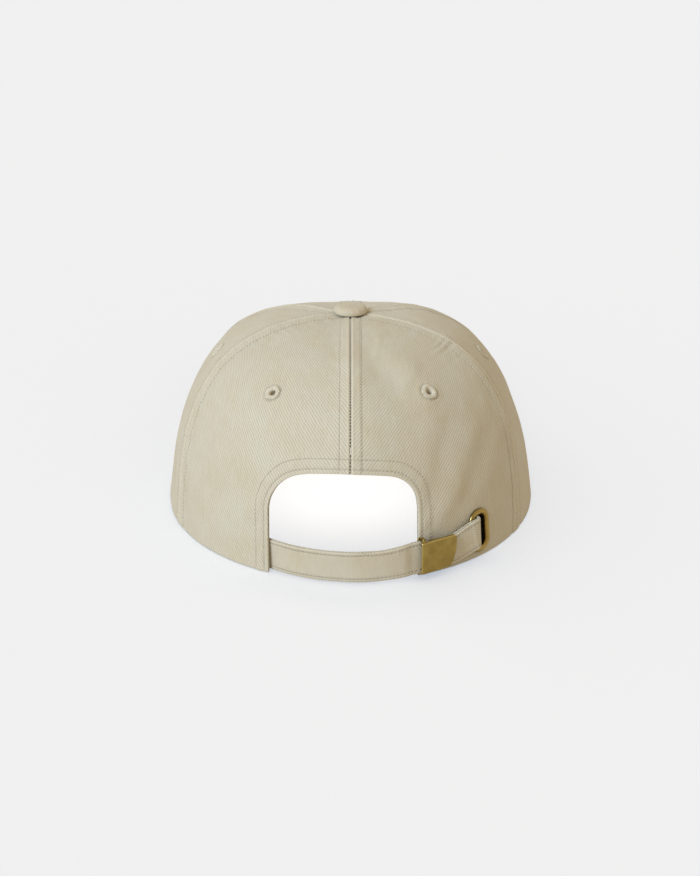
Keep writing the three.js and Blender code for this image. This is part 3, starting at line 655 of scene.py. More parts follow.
def stitch_row(bag, hole_shades, path, out, pitch, fill, radius, lift, slant=0.0, hole=0.19):
    """Stitches along a path; the second argument is the bag for dark beads of painted shade in the
    needle holes, or None.
    """
    run = run_length(path)
    count = max(1, int(round(run[-1] / pitch)))
    step = run[-1] / count
    for i in range(count):
        first = (i + 0.5 - fill / 2) * step + rng.normal(0, 0.03) * step
        last = (i + 0.5 + fill / 2) * step + rng.normal(0, 0.03) * step
        up = unit(lookup(0.5 * (first + last), run, out))
        start, end = lookup(first, run, path), lookup(last, run, path)
        aside = unit(np.cross(up, end - start)) * slant
        start, end = start - aside, end + aside
        thread(bag, start, end, up, radius, lift, rng.uniform(-0.25, 0.25))
        if hole_shades is not None:
            place = (i + 1) * step
            needle_hole_shade(hole_shades, lookup(place, run, path), unit(lookup(place, run, out)),
                        unit(end - start), hole + 0.05 * rng.random())


rng = np.random.default_rng(41)
# stitch kinds: spacing, share of it that is thread, thread radius, height of the bow
CROWN_STITCH = dict(pitch=1.75, fill=0.62, radius=0.21, lift=0.15)
LINING_STITCH = dict(pitch=2.4, fill=0.72, radius=0.18, lift=0.14)
BAND_STITCH = dict(pitch=2.8, fill=0.72, radius=0.2, lift=0.16)
VISOR_STITCH = dict(pitch=2.5, fill=0.72, radius=0.23, lift=0.17)
STRAP_STITCH = dict(pitch=1.75, fill=0.64, radius=0.21, lift=0.15, slant=0.08)
EDGE_STITCH = dict(pitch=1.35, fill=0.55, radius=0.16, lift=0.08, slant=0.22)
TAIL_STITCH = dict(pitch=1.75, fill=0.64, radius=0.20, lift=0.14, slant=0.08)


# ------------------------------------------------------------------ materials
class Shader:
    """A material with one Principled node, and short calls for the nodes that feed it."""

    def __init__(self, name):
        self.material = bpy.data.materials.new(name)
        self.material.use_nodes = True
        self.tree = self.material.node_tree
        self.tree.nodes.clear()
        output = self.tree.nodes.new("ShaderNodeOutputMaterial")
        self.surface = self.tree.nodes.new("ShaderNodeBsdfPrincipled")
        self.tree.links.new(self.surface.outputs[0], output.inputs["Surface"])

    def feed(self, socket, value):
        if isinstance(value, bpy.types.NodeSocket):
            self.tree.links.new(value, socket)
        else:
            socket.default_value = value

    def set(self, key, value):
        self.feed(self.surface.inputs[key], value)

    def math(self, operation, *values):
        node = self.tree.nodes.new("ShaderNodeMath")
        node.operation = operation
        for socket, value in zip(node.inputs, (values + (0.0, 0.0))[:3]):
            self.feed(socket, value)
        return node.outputs[0]

    def swing(self, value, amount):
        """A 0 to 1 value centred on 0 and scaled."""
        return self.math("MULTIPLY", self.math("SUBTRACT", value, 0.5), amount)

    def noise(self, vector, scale, detail=2.0, rough=0.5):
        node = self.tree.nodes.new("ShaderNodeTexNoise")
        self.feed(node.inputs["Vector"], vector)
        node.inputs["Scale"].default_value = scale
        node.inputs["Detail"].default_value = detail
        node.inputs["Roughness"].default_value = rough
        return node.outputs[0]

    def mapping(self, vector, rotation, scale=(1, 1, 1)):
        node = self.tree.nodes.new("ShaderNodeMapping")
        self.feed(node.inputs["Vector"], vector)
        node.inputs["Rotation"].default_value = (0, 0, rotation)
        node.inputs["Scale"].default_value = scale
        return node.outputs[0]

    def split(self, vector):
        node = self.tree.nodes.new("ShaderNodeSeparateXYZ")
        self.feed(node.inputs[0], vector)
        return node.outputs

    def mix(self, factor, first, second):
        node = self.tree.nodes.new("ShaderNodeMix")
        node.data_type = "RGBA"
        self.feed(node.inputs["Factor"], factor)
        self.feed(node.inputs[6], first)
        self.feed(node.inputs[7], second)
        return node.outputs[2]

    def ramp(self, value, start, end, low=0.0, high=1.0):
        node = self.tree.nodes.new("ShaderNodeMapRange")
        self.feed(node.inputs[0], value)
        for socket, number in zip(node.inputs[1:5], (start, end, low, high)):
            socket.default_value = number
        return node.outputs[0]

    def wear(self):
        node = self.tree.nodes.new("ShaderNodeAttribute")
        node.attribute_name = "wear"
        return node.outputs["Fac"]

    def uv(self):
        node = self.tree.nodes.new("ShaderNodeUVMap")
        node.uv_map = "UVMap"
        return node.outputs[0]

    def object_space(self):
        return self.tree.nodes.new("ShaderNodeTexCoord").outputs["Object"]

    def bump(self, height, distance, strength=1.0):
        node = self.tree.nodes.new("ShaderNodeBump")
        node.inputs["Strength"].default_value = strength
        node.inputs["Distance"].default_value = distance
        self.feed(node.inputs["Height"], height)
        self.set("Normal", node.outputs[0])


def srgb(*channels):
    """Linear colour from 0 to 255 screen values."""
    return tuple(((value / 255 + 0.055) / 1.055) ** 2.4 for value in channels) + (1.0,)


def tint(color, scale, lift=0.0):
    """A colour scaled by one factor, or one per channel."""
    scaled = [value * factor + lift for value, factor in zip(color, np.broadcast_to(scale, 3))]
    return tuple(min(1.0, value) for value in scaled) + (1.0,)


def cloth(name, color, angle, pitch, contrast=0.16, depth=0.00009, float_length=0.85,
          stagger=0.37):
    """Woven cloth on a UV map in mm: rib angle and pitch, and how its yarn floats are offset."""
    shade = Shader(name)
    uv = shade.uv()
    slow = shade.noise(uv, 0.16, 2)
    quick = shade.noise(uv, 0.9, 1)
    x, y, _ = shade.split(shade.mapping(uv, angle * DEG))
    x = shade.math("ADD", x, shade.swing(slow, 1.4))
    x = shade.math("ADD", x, shade.swing(quick, 0.22))
    column = shade.math("FLOOR", shade.math("DIVIDE", x, pitch))
    rib = shade.math("MULTIPLY", x, math.pi / pitch)
    rib = shade.math("ABSOLUTE", shade.math("SINE", rib))
    floats = shade.math("ADD", shade.math("DIVIDE", y, float_length),
                        shade.math("MULTIPLY", column, stagger))
    floats = shade.math("SINE", shade.math("MULTIPLY", floats, math.pi))
    floats = shade.math("ABSOLUTE", floats)
    weave = shade.math("MULTIPLY", shade.math("POWER", rib, 0.7),
                       shade.math("ADD", 0.68, shade.math("MULTIPLY", floats, 0.32)))
    # each yarn a little lighter or darker than the next
    yarns = shade.noise(shade.mapping(uv, angle * DEG, (1.4, 0.12, 1)), 1.0, 1)
    fuzz = shade.noise(uv, 2.6, 3, 0.7)
    weave = shade.math("ADD", weave, shade.swing(fuzz, 0.5))
    patches = shade.noise(uv, 0.042, 4, 0.68)
    wear = shade.wear()
    light = tint(color, 1.16, lift=0.012)
    base = shade.mix(shade.ramp(patches, 0.40, 0.66), tint(color, 1.03),
                     tint(color, (1.0, 0.945, 0.865)))
    base = shade.mix(shade.ramp(weave, 0.62, 0.12, 0.0, 0.62), base,
                     tint(color, 1 - contrast * 2.0))
    base = shade.mix(shade.ramp(yarns, 0.42, 0.75, 0.0, 0.30), base, light)
    # above 0 lighter where rubbed; below 0 painted shade in seam gaps, stitch dips, grooves, round
    # the eyelets and under the button
    base = shade.mix(shade.ramp(wear, 0.05, 1.0, 0.0, 0.75), base, light)
    base = shade.mix(shade.ramp(wear, -0.05, -1.0, 0.0, 0.95), base, tint(color, 0.52))
    shade.set("Base Color", base)
    shade.set("Roughness", shade.ramp(weave, 0.0, 1.0, 0.96, 0.82))
    shade.set("Specular IOR Level", 0.22)
    shade.set("Sheen Weight", 0.25)
    shade.set("Sheen Roughness", 0.45)
    shade.set("Sheen Tint", (1, 0.98, 0.93, 1))
    shade.bump(weave, depth)
    return shade.material


def fibre(name, color, scale=3800):
    """Twisted fibre; scale sets how fine the twist is."""
    shade = Shader(name)
    space = shade.object_space()
    twist = shade.noise(shade.mapping(space, 0.6, (1, 1, 2.2)), scale, 2, 0.6)
    patches = shade.noise(space, 160, 2)
    wear = shade.wear()
    light = tint(color, 1.18)
    base = shade.mix(shade.ramp(twist, 0.3, 0.7), tint(color, 0.62), light)
    base = shade.mix(shade.ramp(patches, 0.3, 0.7, 0.0, 0.35), base, color)
    base = shade.mix(shade.ramp(wear, 0.0, 0.6, 0.0, 0.4), base, light)
    shade.set("Base Color", base)
    shade.set("Roughness", shade.ramp(twist, 0.2, 0.8, 0.62, 0.82))
    shade.set("Sheen Weight", 0.2)
    shade.bump(twist, 0.00006, 0.7)
    return shade.material


def metal(name, color, rough):
    """Mottled metal, bright where rubbed and where a highlight is painted, near black where shade
    is painted in hollows and under other parts.
    """
    shade = Shader(name)
    space = shade.object_space()
    mottle = shade.noise(space, 190, 4, 0.62)
    fine = shade.noise(shade.mapping(space, 0.0, (1, 1, 6)), 1500, 3, 0.6)
    spots = shade.noise(space, 620, 2, 0.5)
    wear = shade.wear()
    base = shade.mix(shade.ramp(mottle, 0.36, 0.66), tint(color, (0.80, 0.76, 0.70)), color)
    base = shade.mix(shade.ramp(spots, 0.66, 0.74, 0.0, 0.45), base,
                     tint(color, (1.05, 0.78, 0.62)))
    # above 0 lighter where rubbed, and the painted highlight on the grommet's crest; below 0
    # painted shade, near black
    base = shade.mix(shade.ramp(wear, 0.05, 0.9, 0.0, 0.9), base,
                     tint(color, (1.32, 1.36, 1.5)))
    base = shade.mix(shade.ramp(wear, -0.05, -0.9, 0.0, 0.95), base, (0.03, 0.022, 0.012, 1))
    shade.set("Base Color", base)
    shade.set("Metallic", 1.0)
    shade.set("Roughness", shade.math("ADD", shade.ramp(mottle, 0.3, 0.7, rough + 0.12,
                                                        rough - 0.02), shade.swing(fine, 0.10)))
    shade.bump(shade.math("ADD", shade.math("MULTIPLY", fine, 0.35), spots), 0.00003, 0.6)
    return shade.material


KHAKI = (0.611, 0.569, 0.455, 1.0)
TWILL_LEFT = cloth("twill_left", KHAKI, angle=-36, pitch=1.38, contrast=0.25)
TWILL_RIGHT = cloth("twill_right", KHAKI, angle=41, pitch=1.32, contrast=0.235)
TWILL_SIDE = cloth("twill_side", KHAKI, angle=34, pitch=1.3)
TWILL_SIDE_RIGHT = cloth("twill_side_right", KHAKI, angle=-34, pitch=1.3)
STRAP_CLOTH = cloth("twill_strap", (0.605, 0.56, 0.447, 1.0), angle=-52, pitch=1.0, contrast=0.13)
BUTTON_CLOTH = cloth("twill_button", (0.585, 0.536, 0.42, 1.0), angle=50, pitch=1.1,
                     contrast=0.10, depth=0.00006)
VISOR_CLOTH = cloth("twill_visor", KHAKI, angle=45, pitch=1.25)
# plain weave: floats as long as the pitch, set off by half
TAPE_CLOTH = cloth("tape_cotton", (0.56, 0.51, 0.40, 1.0), angle=90, pitch=0.8, contrast=0.12,
                   depth=0.00005, float_length=0.8, stagger=0.5)
BAND_CLOTH = cloth("band_cotton", (0.585, 0.54, 0.435, 1.0), angle=36, pitch=0.8,
                   contrast=0.12, depth=0.00006)
FACING_CLOTH = cloth("facing_cotton", (0.575, 0.528, 0.415, 1.0), angle=40, pitch=0.85,
                     contrast=0.12, depth=0.00006)
THREAD = fibre("sewing_thread", (0.60, 0.555, 0.445, 1.0))
EYELET_THREAD = fibre("eyelet_thread", (0.70, 0.645, 0.51, 1.0), scale=2600)
# dark beads of painted shade inside the needle holes
HOLE_SHADE = fibre("needle_hole_shade", (0.20, 0.165, 0.105, 1.0))
BRASS = metal("antique_brass_plate", (0.49, 0.385, 0.135, 1), rough=0.36)
RING_BRASS = metal("antique_brass_ring", (0.45, 0.33, 0.11, 1), rough=0.24)
PRONG_METAL = metal("prong_metal", (0.45, 0.44, 0.42, 1), rough=0.4)
BOARD_FIBRE = fibre("visor_board_fibre", srgb(222, 220, 212), scale=900)
CORE_FIBRE = fibre("band_core_fibre", srgb(212, 206, 192), scale=900)


# ------------------------------------------------------------------ crown panels
def cluster(count, strength):
    """Stations from 0 to 1, closer together at both ends."""
    x = np.linspace(0, 1, count)
    return x - strength * np.sin(2 * np.pi * x) / (2 * np.pi)


def plain_grid(panel, columns=130, rows=150):
    """Turn, level and flat coordinates of a panel with four plain sides."""
    feet = seams(0.0)
    middle = 0.5 * (seams(0.4)[panel] + seams(0.4)[panel + 1])
    top = arc(level_at_radius(float(middle), APEX_R))
    up = np.linspace(0, 1, rows)[None]
    across = cluster(columns, 0.62)[:, None]
    turn = feet[panel] + (feet[panel + 1] - feet[panel]) * across * np.ones((1, rows))
    # the rim's height and the seams' turns depend on each other, so they are settled in turns
    for _ in range(6):
        foot = arc(level_at(rim_z(turn)))
        level = arc_level(foot + (top - foot) * up)
        edges = seams(frac_at(level))
        left, right = edges[panel], edges[panel + 1]
        centre = crown(0.5 * (left + right), level)[..., :2]
        radius = np.maximum(1.0, np.linalg.norm(centre, axis=-1))
        left_gap = SEAM_GAP[panel] / radius / DEG
        right_gap = SEAM_GAP[panel + 1] / radius / DEG
        turn = left + left_gap + (right - left - left_gap - right_gap) * across
    return turn, level, (across - 0.5) * np.interp(level, LEVELS, WIDTHS[panel]), arc(level)


def rear_grid(panel, columns=200, rows=150):
    """The same for a panel cut by the rear opening, blended from its four edges."""
    side = -1 if panel == 2 else 1
    gap = SEAM_GAP[3]
    top = arc(level_at_radius(side * 30.0, APEX_R))
    foot = float(np.interp(0, EDGE_GORE[:, 0], EDGE_GORE[:, 1]))
    around, outward = cluster(columns, 0.55), cluster(rows, 0.60)
    dense = np.linspace(0, 1, 2000)
    # the opening, from the centre seam down to the rim
    opening = EDGE_GORE[EDGE_GORE[:, 0] * side >= 0][::side]
    opening[0] = (0, foot)
    opening = lookup(around, dense, resample(opening, 2000))
    opening[:, 0] = np.where(around < 0.05, side * np.maximum(np.abs(opening[:, 0]), gap),
                             opening[:, 0])
    opening[0, 0] = side * gap
    # the side seam, from the top down to the rim
    up = np.linspace(top, 0, 2000)
    width = np.interp(arc_level(up), LEVELS, WIDTHS[panel])
    width = width - SEAM_GAP[panel if side < 0 else panel + 1]
    top_width = width[0] / 2
    width = width - smooth(top - 4, top, up) * (width - top_width)
    far = lookup(around, dense, resample(np.stack([side * width, up], 1), 2000))
    # the centre seam, from the opening to the top, and the rim
    up = foot + (top - foot) * outward
    centre = np.stack([side * (gap + smooth(top - 4, top, up) * (top_width - gap)), up], 1)
    rim_start, rim_end = opening[-1, 0], far[-1, 0]
    rim = np.stack([rim_start + (rim_end - rim_start) * outward, np.zeros(rows)], 1)
    share, reach = around[:, None, None], outward[None, :, None]
    corners = ((1 - share) * (1 - reach) * opening[0] + share * (1 - reach) * opening[-1]
               + (1 - share) * reach * far[0] + share * reach * far[-1])
    flat = ((1 - reach) * opening[:, None] + reach * far[:, None]
            + (1 - share) * centre[None] + share * rim[None] - corners)
    x, y = flat[..., 0], flat[..., 1]
    level = arc_level(np.clip(y, 0, top))
    turn_reach, half_width = rear_half(side, level)
    return x / half_width * turn_reach, level, x, y


def build_panel(panel, name, material):
    turn, level, x, y = (rear_grid if panel in (2, 3) else plain_grid)(panel)
    height, wear = relief(turn, level)
    plain = crown(turn, level)
    outer = layer(turn, level, height)
    inner = layer(turn, level, -PANEL_T + 0.25 * np.minimum(0, height))
    rim = rim_z(turn)
    on_rim = np.abs(plain[..., 2] - rim) < 0.02
    for face in (outer, inner):
        face[..., 2] = np.where(on_rim, rim, face[..., 2])
    centres = 0.25 * (plain[:-1, :-1] + plain[1:, :-1] + plain[1:, 1:] + plain[:-1, 1:])
    mask = np.ones(centres.shape[:2], bool)
    for eyelet_turn, z in EYELETS.values():
        eyelet = crown(eyelet_turn, level_at(z))
        mask &= np.linalg.norm(centres - eyelet, axis=-1) > 1.75
    if panel == 3:
        mask &= ~in_grommet(centres, 0.55)
    finish_mesh(name + "_cloth", shell(outer, inner, stack(x, y), wear, mask), material,
                slot="twill", node=name)


panel_cloths = [TWILL_SIDE, TWILL_SIDE_RIGHT, TWILL_LEFT, TWILL_RIGHT, TWILL_SIDE,
                TWILL_SIDE_RIGHT]
for panel, name in enumerate(PANELS):
    build_panel(panel, name, panel_cloths[panel])


# ------------------------------------------------------------------ stitching on the crown
def seam_top(seam, radius):
    return level_at_radius(float(seams(0.99)[seam]) + 0.01, radius)


def seam_line(seam, level):
    """Turn, radius from the axis, and mm per degree along a seam."""
    turn = seams(frac_at(level))[seam]
    points = crown(turn, level)
    return turn, np.hypot(points[:, 0], points[:, 1]), mm_per_degree(turn, level)


def opening_row(offset, lowest):
    """Turn and level of a line beside the opening's edge, above a height."""
    row = EDGE_GORE + EDGE_OUT * offset
    across, up = row[row[:, 1] > lowest].T
    level = arc_level(up)
    return gore_turn(across, level), level


def cross_threads(bag, turn, level):
    """Threads that cross the slightly open rear centre seam."""
    path, outs = layer(turn, level, -0.12), normal(turn, level)
    run = run_length(path)
    for place in np.arange(0.6, run[-1], 1.48):
        centre = lookup(place, run, path)
        out = unit(lookup(place, run, outs))
        tangent = unit(lookup(place + 0.4, run, path) - centre)
        half = np.cross(out, tangent) * 0.55 + tangent * 0.12
        thread(bag, centre - half, centre + half, out, radius=0.24, lift=0.13, wear=0.1)


def build_crown_stitching():
    threads, hole_shades = Bag(), Bag()
    for seam in range(6):
        lowest = OPEN_TOP + 0.6 if seam == 3 else rim_z(SEAM_TURN[seam]) + 0.8
        level = np.linspace(float(level_at(lowest)), seam_top(seam, 8.4), 260)
        turn, radius, scale = seam_line(seam, level)
        for side in (-1, 1):
            row = turn + side * row_offset(radius) / scale
            stitch_row(threads, hole_shades, stitch_base(row, level), normal(row, level),
                       **CROWN_STITCH, slant=0.10, hole={3: 0.22, 2: 0.02}.get(seam, 0.11))
        if seam == 3:
            cross_threads(threads, turn, level)
    for offset in TURNED_ROWS:
        turn, level = opening_row(offset, 0.8)
        stitch_row(threads, hole_shades, stitch_base(turn, level), normal(turn, level),
                   **CROWN_STITCH, slant=0.08, hole=0.13)
    threads.make("crown_stitching", THREAD, slot="twill")
    # dark beads of painted shade in the needle holes
    hole_shades.make("crown_needle_hole_shade", HOLE_SHADE, slot="twill")


build_crown_stitching()

# ------------------------------------------------------------------ seam tapes and facing
# name: seam, height of the lower end (None: just above the rim)
TAPES = {
    "seam_tape_front_centre": (0, None), "seam_tape_front_left": (1, None),
    "seam_tape_rear_left": (2, None), "seam_tape_rear_centre": (3, OPEN_TOP + FACING_W + 1.6),
    "seam_tape_rear_right": (4, None), "seam_tape_front_right": (5, None),
}
TAPE_FACE = -1.86        # offset of a tape's visible side
FACING_FACE = -1.98      # and of the facing's
lining_threads = Bag()


def build_tape(name, seam, foot):
    foot = foot or rim_z(SEAM_TURN[seam]) + 2
    level = arc_level(np.linspace(arc(level_at(foot)), arc(seam_top(seam, 6.6)), 120))
    turn, radius, scale = seam_line(seam, level)
    half = np.minimum(5.0, radius * 0.34)
    share, levels = np.meshgrid(np.linspace(-1, 1, 25), level, indexing="ij")
    turns = turn + share * (half / scale)
    x, y = share * half, arc(levels)
    ridge = 0.10 * bell(share, 0.25) - 0.16 * bell(np.abs(share) - 0.82, 0.10)
    ridge = ridge + 0.06 * fbm(71, x / 3, y / 3, 3.0 * seam)
    # lighter rubbed edges, painted shade along the stitch rows
    wear = 0.5 * bell(np.abs(share) - 1, 0.06) - 0.35 * bell(np.abs(share) - 0.80, 0.05)
    piece = shell(layer(turns, levels, TAPE_FACE - ridge), layer(turns, levels, -1.32),
                  stack(x, y), wear)
    finish_mesh(name + "_cloth", piece, TAPE_CLOTH, slot="seam_tape", node=name)
    for side in (-1, 1):
        row = turn + side * 0.80 * half / scale
        stitch_row(lining_threads, None, layer(row, level, TAPE_FACE), -normal(row, level),
                   **LINING_STITCH)


def build_facing():
    """Strip behind the opening's turned edge."""
    offset = np.linspace(0.35, FACING_W, 26)
    flat = EDGE_GORE[::3, None] + EDGE_OUT[::3, None] * offset[None, :, None]
    x, y = flat[..., 0], np.maximum(flat[..., 1], 0.5)
    level = arc_level(y)
    turn = gore_turn(x, level)
    edge = np.broadcast_to(offset, x.shape)
    height = 0.07 * fbm(77, x / 3, y / 3, 0)
    height = height - 0.12 * sum(bell(edge - row, 0.5) for row in TURNED_ROWS)
    # lighter rubbed edges, painted shade along the two stitch rows
    wear = 0.6 * bell(edge - FACING_W, 0.4) + 0.5 * bell(edge - 0.35, 0.4)
    wear = wear - 0.3 * sum(bell(edge - row, 0.4) for row in TURNED_ROWS)
    piece = shell(layer(turn, level, FACING_FACE - height), layer(turn, level, -1.0),
                  stack(x, y), wear)
    finish_mesh("rear_opening_facing_cloth", piece, FACING_CLOTH, slot="lining_cotton",
                node="rear_opening_facing")
    for row in TURNED_ROWS:
        turn, level = opening_row(row, 1.2)
        stitch_row(lining_threads, None, layer(turn, level, FACING_FACE),
                   -normal(turn, level), **LINING_STITCH)


for name, (seam, foot) in TAPES.items():
    build_tape(name, seam, foot)
build_facing()

# ------------------------------------------------------------------ sweatband
# turn, extra distance inward behind the opening and the buckle
POCKET = np.array([
    [-88, 0], [-74, 1.4], [-60, 3.8], [-46, 6.0], [-34, 6.2], [-25, 4.4], [0, 4], [20, 4.0],
    [48, 4.1], [60, 2.7], [80, 0]], float)
BAND_OUTER = -2.35       # offsets of the band's two sides
BAND_INNER = -5.35
BAND_ROWS = (28.6, 5.2)  # heights of its stitch rows


def band_level(turn, height):
    return level_at(rim_z(turn) + height)


def band_point(turn, offset, height):
    turn = wrap(turn)
    pocket = np.interp(turn, *POCKET.T, left=0, right=0) * (1 - smooth(20, 29, height))
    point = layer(turn, band_level(turn, height), offset - pocket)
    point[..., 2] = np.maximum(point[..., 2], 0.1)
    return point


def build_sweatband():
    """A strip folded at its foot, drawn as an outline of offset, height swept round the crown."""
    turns = np.linspace(25.4, 360 - 30.2, 300)
    fold_r = (BAND_OUTER - BAND_INNER) / 2
    outline = [(BAND_OUTER, BAND_H)] + [(BAND_OUTER, z) for z in np.linspace(30, 2.2, 16)]
    outline += [(-3.85 + fold_r * math.cos(angle), 1.9 + fold_r * math.sin(angle))
                for angle in np.linspace(0, -np.pi, 9)]
    outline += [(BAND_INNER, z) for z in np.linspace(2.6, 31.4, 22)]
    outline = np.array(outline)
    inward = -side_normals(outline)
    turn, offset = np.meshgrid(turns, outline[:, 0], indexing="ij")
    along, height = np.meshgrid(run_length(band_point(turns, -5.0, 12.0)), outline[:, 1],
                                indexing="ij")
    # ends drawn against the wall
    from_end = np.minimum(turn - turns[0], turns[-1] - turn)
    offset = offset + 1.1 * (1 - smooth(0.5, 8, from_end))
    visible = (outline[:, 0] < -4.5).astype(float)
    ripple = 0.28 * fbm(81, along / 13, height / 14, 2.0)
    ripple = ripple + 0.14 * fbm(82, along / 4, height / 18, 5.0) * smooth(10, 26, height)
    dip = 0.30 * bell(height - BAND_ROWS[0], 0.7) + 0.26 * bell(height - BAND_ROWS[1], 0.7)
    face = band_point(turn, offset + visible * dip - np.maximum(visible * ripple, -0.35), height)
    back = band_point(turn, offset + inward[:, 0] * 0.62,
                      np.maximum(height + inward[:, 1] * 0.62, 0.3))
    # lighter rubbed top edge and fold, painted shade along the stitch rows
    wear = 0.5 * bell(height - 31.4, 0.6) - 0.3 * bell(height - BAND_ROWS[0], 0.5)
    wear = visible * (wear - 0.25 * bell(height - BAND_ROWS[1], 0.5))
    wear = wear + 0.35 * bell(height - 0.5, 0.7)
    finish_mesh("sweatband_cloth", shell(face, back, stack(along, run_length(outline)), wear),
                BAND_CLOTH, slot="lining_cotton", node="sweatband")
    turns = np.linspace(25.9, 360 - 30.7, 500)
    for row in BAND_ROWS:
        stitch_row(lining_threads, None, band_point(turns, BAND_INNER + 0.18, row),
                   -normal(wrap(turns), band_level(turns, row)), **BAND_STITCH)


build_sweatband()
lining_threads.make("lining_stitching", THREAD, slot="lining_cotton")

# ------------------------------------------------------------------ visor
VISOR_ROOT = 62.0        # degrees the root spans each side of the front
VISOR_HALF_W = 79.0
VISOR_BASE_Y = 48.0      # y at which the outer edge is widest
VISOR_TIP_Y = 172.0
VISOR_RISE = 20.0
VISOR_ROWS = [3.2, 10.5, 17.8, 25.1, 32.4, 39.7]     # distances from the outer edge


def visor_mid(across, out):
    """Middle surface: across from -1 (+x end) to 1 (-x end), out from 0 (root) to 1 (edge)."""
    across, out = np.broadcast_arrays(across, out)
    turn = wrap(180 + VISOR_ROOT * across)
    rise = rim_z(turn)
    root = layer(turn, level_at(rise), -0.5)     # tucked into the crown's wall
    angle = -across * 90 * DEG
    power = 2 / 2.3
    x = VISOR_HALF_W * np.sign(np.sin(angle)) * np.abs(np.sin(angle)) ** power
    y = VISOR_BASE_Y + (VISOR_TIP_Y - VISOR_BASE_Y) * np.maximum(0, np.cos(angle)) ** power
    out = out * (1 - 0.8 * np.maximum(0, (np.abs(across) - 0.84) / 0.16) ** 2)
    root_z = rise + 2.7
    edge_z = 3.3 + VISOR_RISE * (1 - (x / VISOR_HALF_W) ** 2)
    arch = 2.2 * np.sin(np.pi * out) * (1 - across * across)
    return stack(root[..., 0] + (x - root[..., 0]) * out, root[..., 1] + (y - root[..., 1]) * out,
                 root_z + (edge_z - root_z) * out + arch)


def visor_normal(across, out):
    """Normal of the middle surface, always upward."""
    along = (visor_mid(np.minimum(1, across + 0.01), out)
             - visor_mid(np.maximum(-1, across - 0.01), out))
    outward = (visor_mid(across, np.minimum(1, out + 0.02))
               - visor_mid(across, np.maximum(0, out - 0.02)))
    up = unit(np.cross(along, outward))
    return up * np.where(up[..., 2:] < 0, -1, 1)


def build_visor():
    span = np.pi / 2 * 0.93
    stations = np.sin(np.linspace(-1, 1, 200) * span) / math.sin(span)
    across, out = np.meshgrid(stations, 1 - (1 - np.linspace(0, 1, 96)) ** 1.25, indexing="ij")
    middle, up = visor_mid(across, out), visor_normal(across, out)
    rim = visor_mid(across, 1.0)
    edge = np.linalg.norm(middle - rim, axis=-1)         # distance from the outer edge
    reach = np.linalg.norm(rim - middle[:, :1], axis=-1)
    x = run_length(visor_mid(stations, 0.6))[:, None]
    y = np.linalg.norm(middle - middle[:, :1], axis=-1)
    grooves = sum(bell(edge - row, 0.62) for row in VISOR_ROWS) * smooth(1, 4, reach - edge)
    puff = 0.07 * fbm(91, x / 5, y / 5, 1.0) + 0.10 * fbm(92, x / 3.4, edge / 6, 4.0)
    height = 2.15 - 0.24 * grooves + puff * 0.8 - 1.55 * np.exp(-edge / 0.55)
    height = height - 0.18 * bell(y, 1.0)
    floor = np.where(edge < 0.9, 0.12, 1.30 - 1.15 * np.exp(-(edge - 0.9) / 0.4))
    # lighter rubbed edge, painted shade in the stitched grooves
    wear = 0.65 * bell(edge, 1.0) - 0.32 * grooves + 0.10 * fbm(95, x / 16, y / 16, 2.0)
    for name, side, thinner in (("visor_top_fabric", 1, 0.0), ("visor_bottom_fabric", -1, 0.05)):
        face = np.maximum(height - thinner, 0.5)
        back = np.minimum(floor, face - 0.3)
        piece = shell(middle + up * (side * face)[..., None],
                      middle + up * (side * back)[..., None], stack(x, y), wear)
        finish_mesh(name + "_cloth", piece, VISOR_CLOTH, slot="twill", node=name)
    threads, hole_shades = Bag(), Bag()
    for row in VISOR_ROWS:
        line = np.array([(stations[i], np.interp(-row, -edge[i], out[i]))
                         for i in range(len(stations)) if reach[i, 0] - row > 1.2])
        line = lookup(np.linspace(0, 1, 500), np.linspace(0, 1, len(line)), line)
        centre, above = visor_mid(*line.T), visor_normal(*line.T)
        stitch_row(threads, hole_shades, centre + above * 1.95, above, **VISOR_STITCH)
        stitch_row(threads, None, centre - above * 1.90, -above, **VISOR_STITCH)
    threads.make("visor_stitching", THREAD, slot="twill")
    # dark beads of painted shade in the needle holes
    hole_shades.make("visor_needle_hole_shade", HOLE_SHADE, slot="twill")


build_visor()

# ------------------------------------------------------------------ eyelets
# ring under the threads: radius, height along the normal
EYELET_RING = np.array([
    [1.45, -1.5], [1.42, -0.10], [1.62, 0.30], [2.1, 0.56], [2.7, 0.60], [3.2, 0.42],
    [3.62, 0.10], [3.7, -0.25], [2.4, -0.30], [1.85, -0.5], [1.85, -1.25], [2.6, -1.35],
    [2.5, -1.7], [1.55, -1.7]])


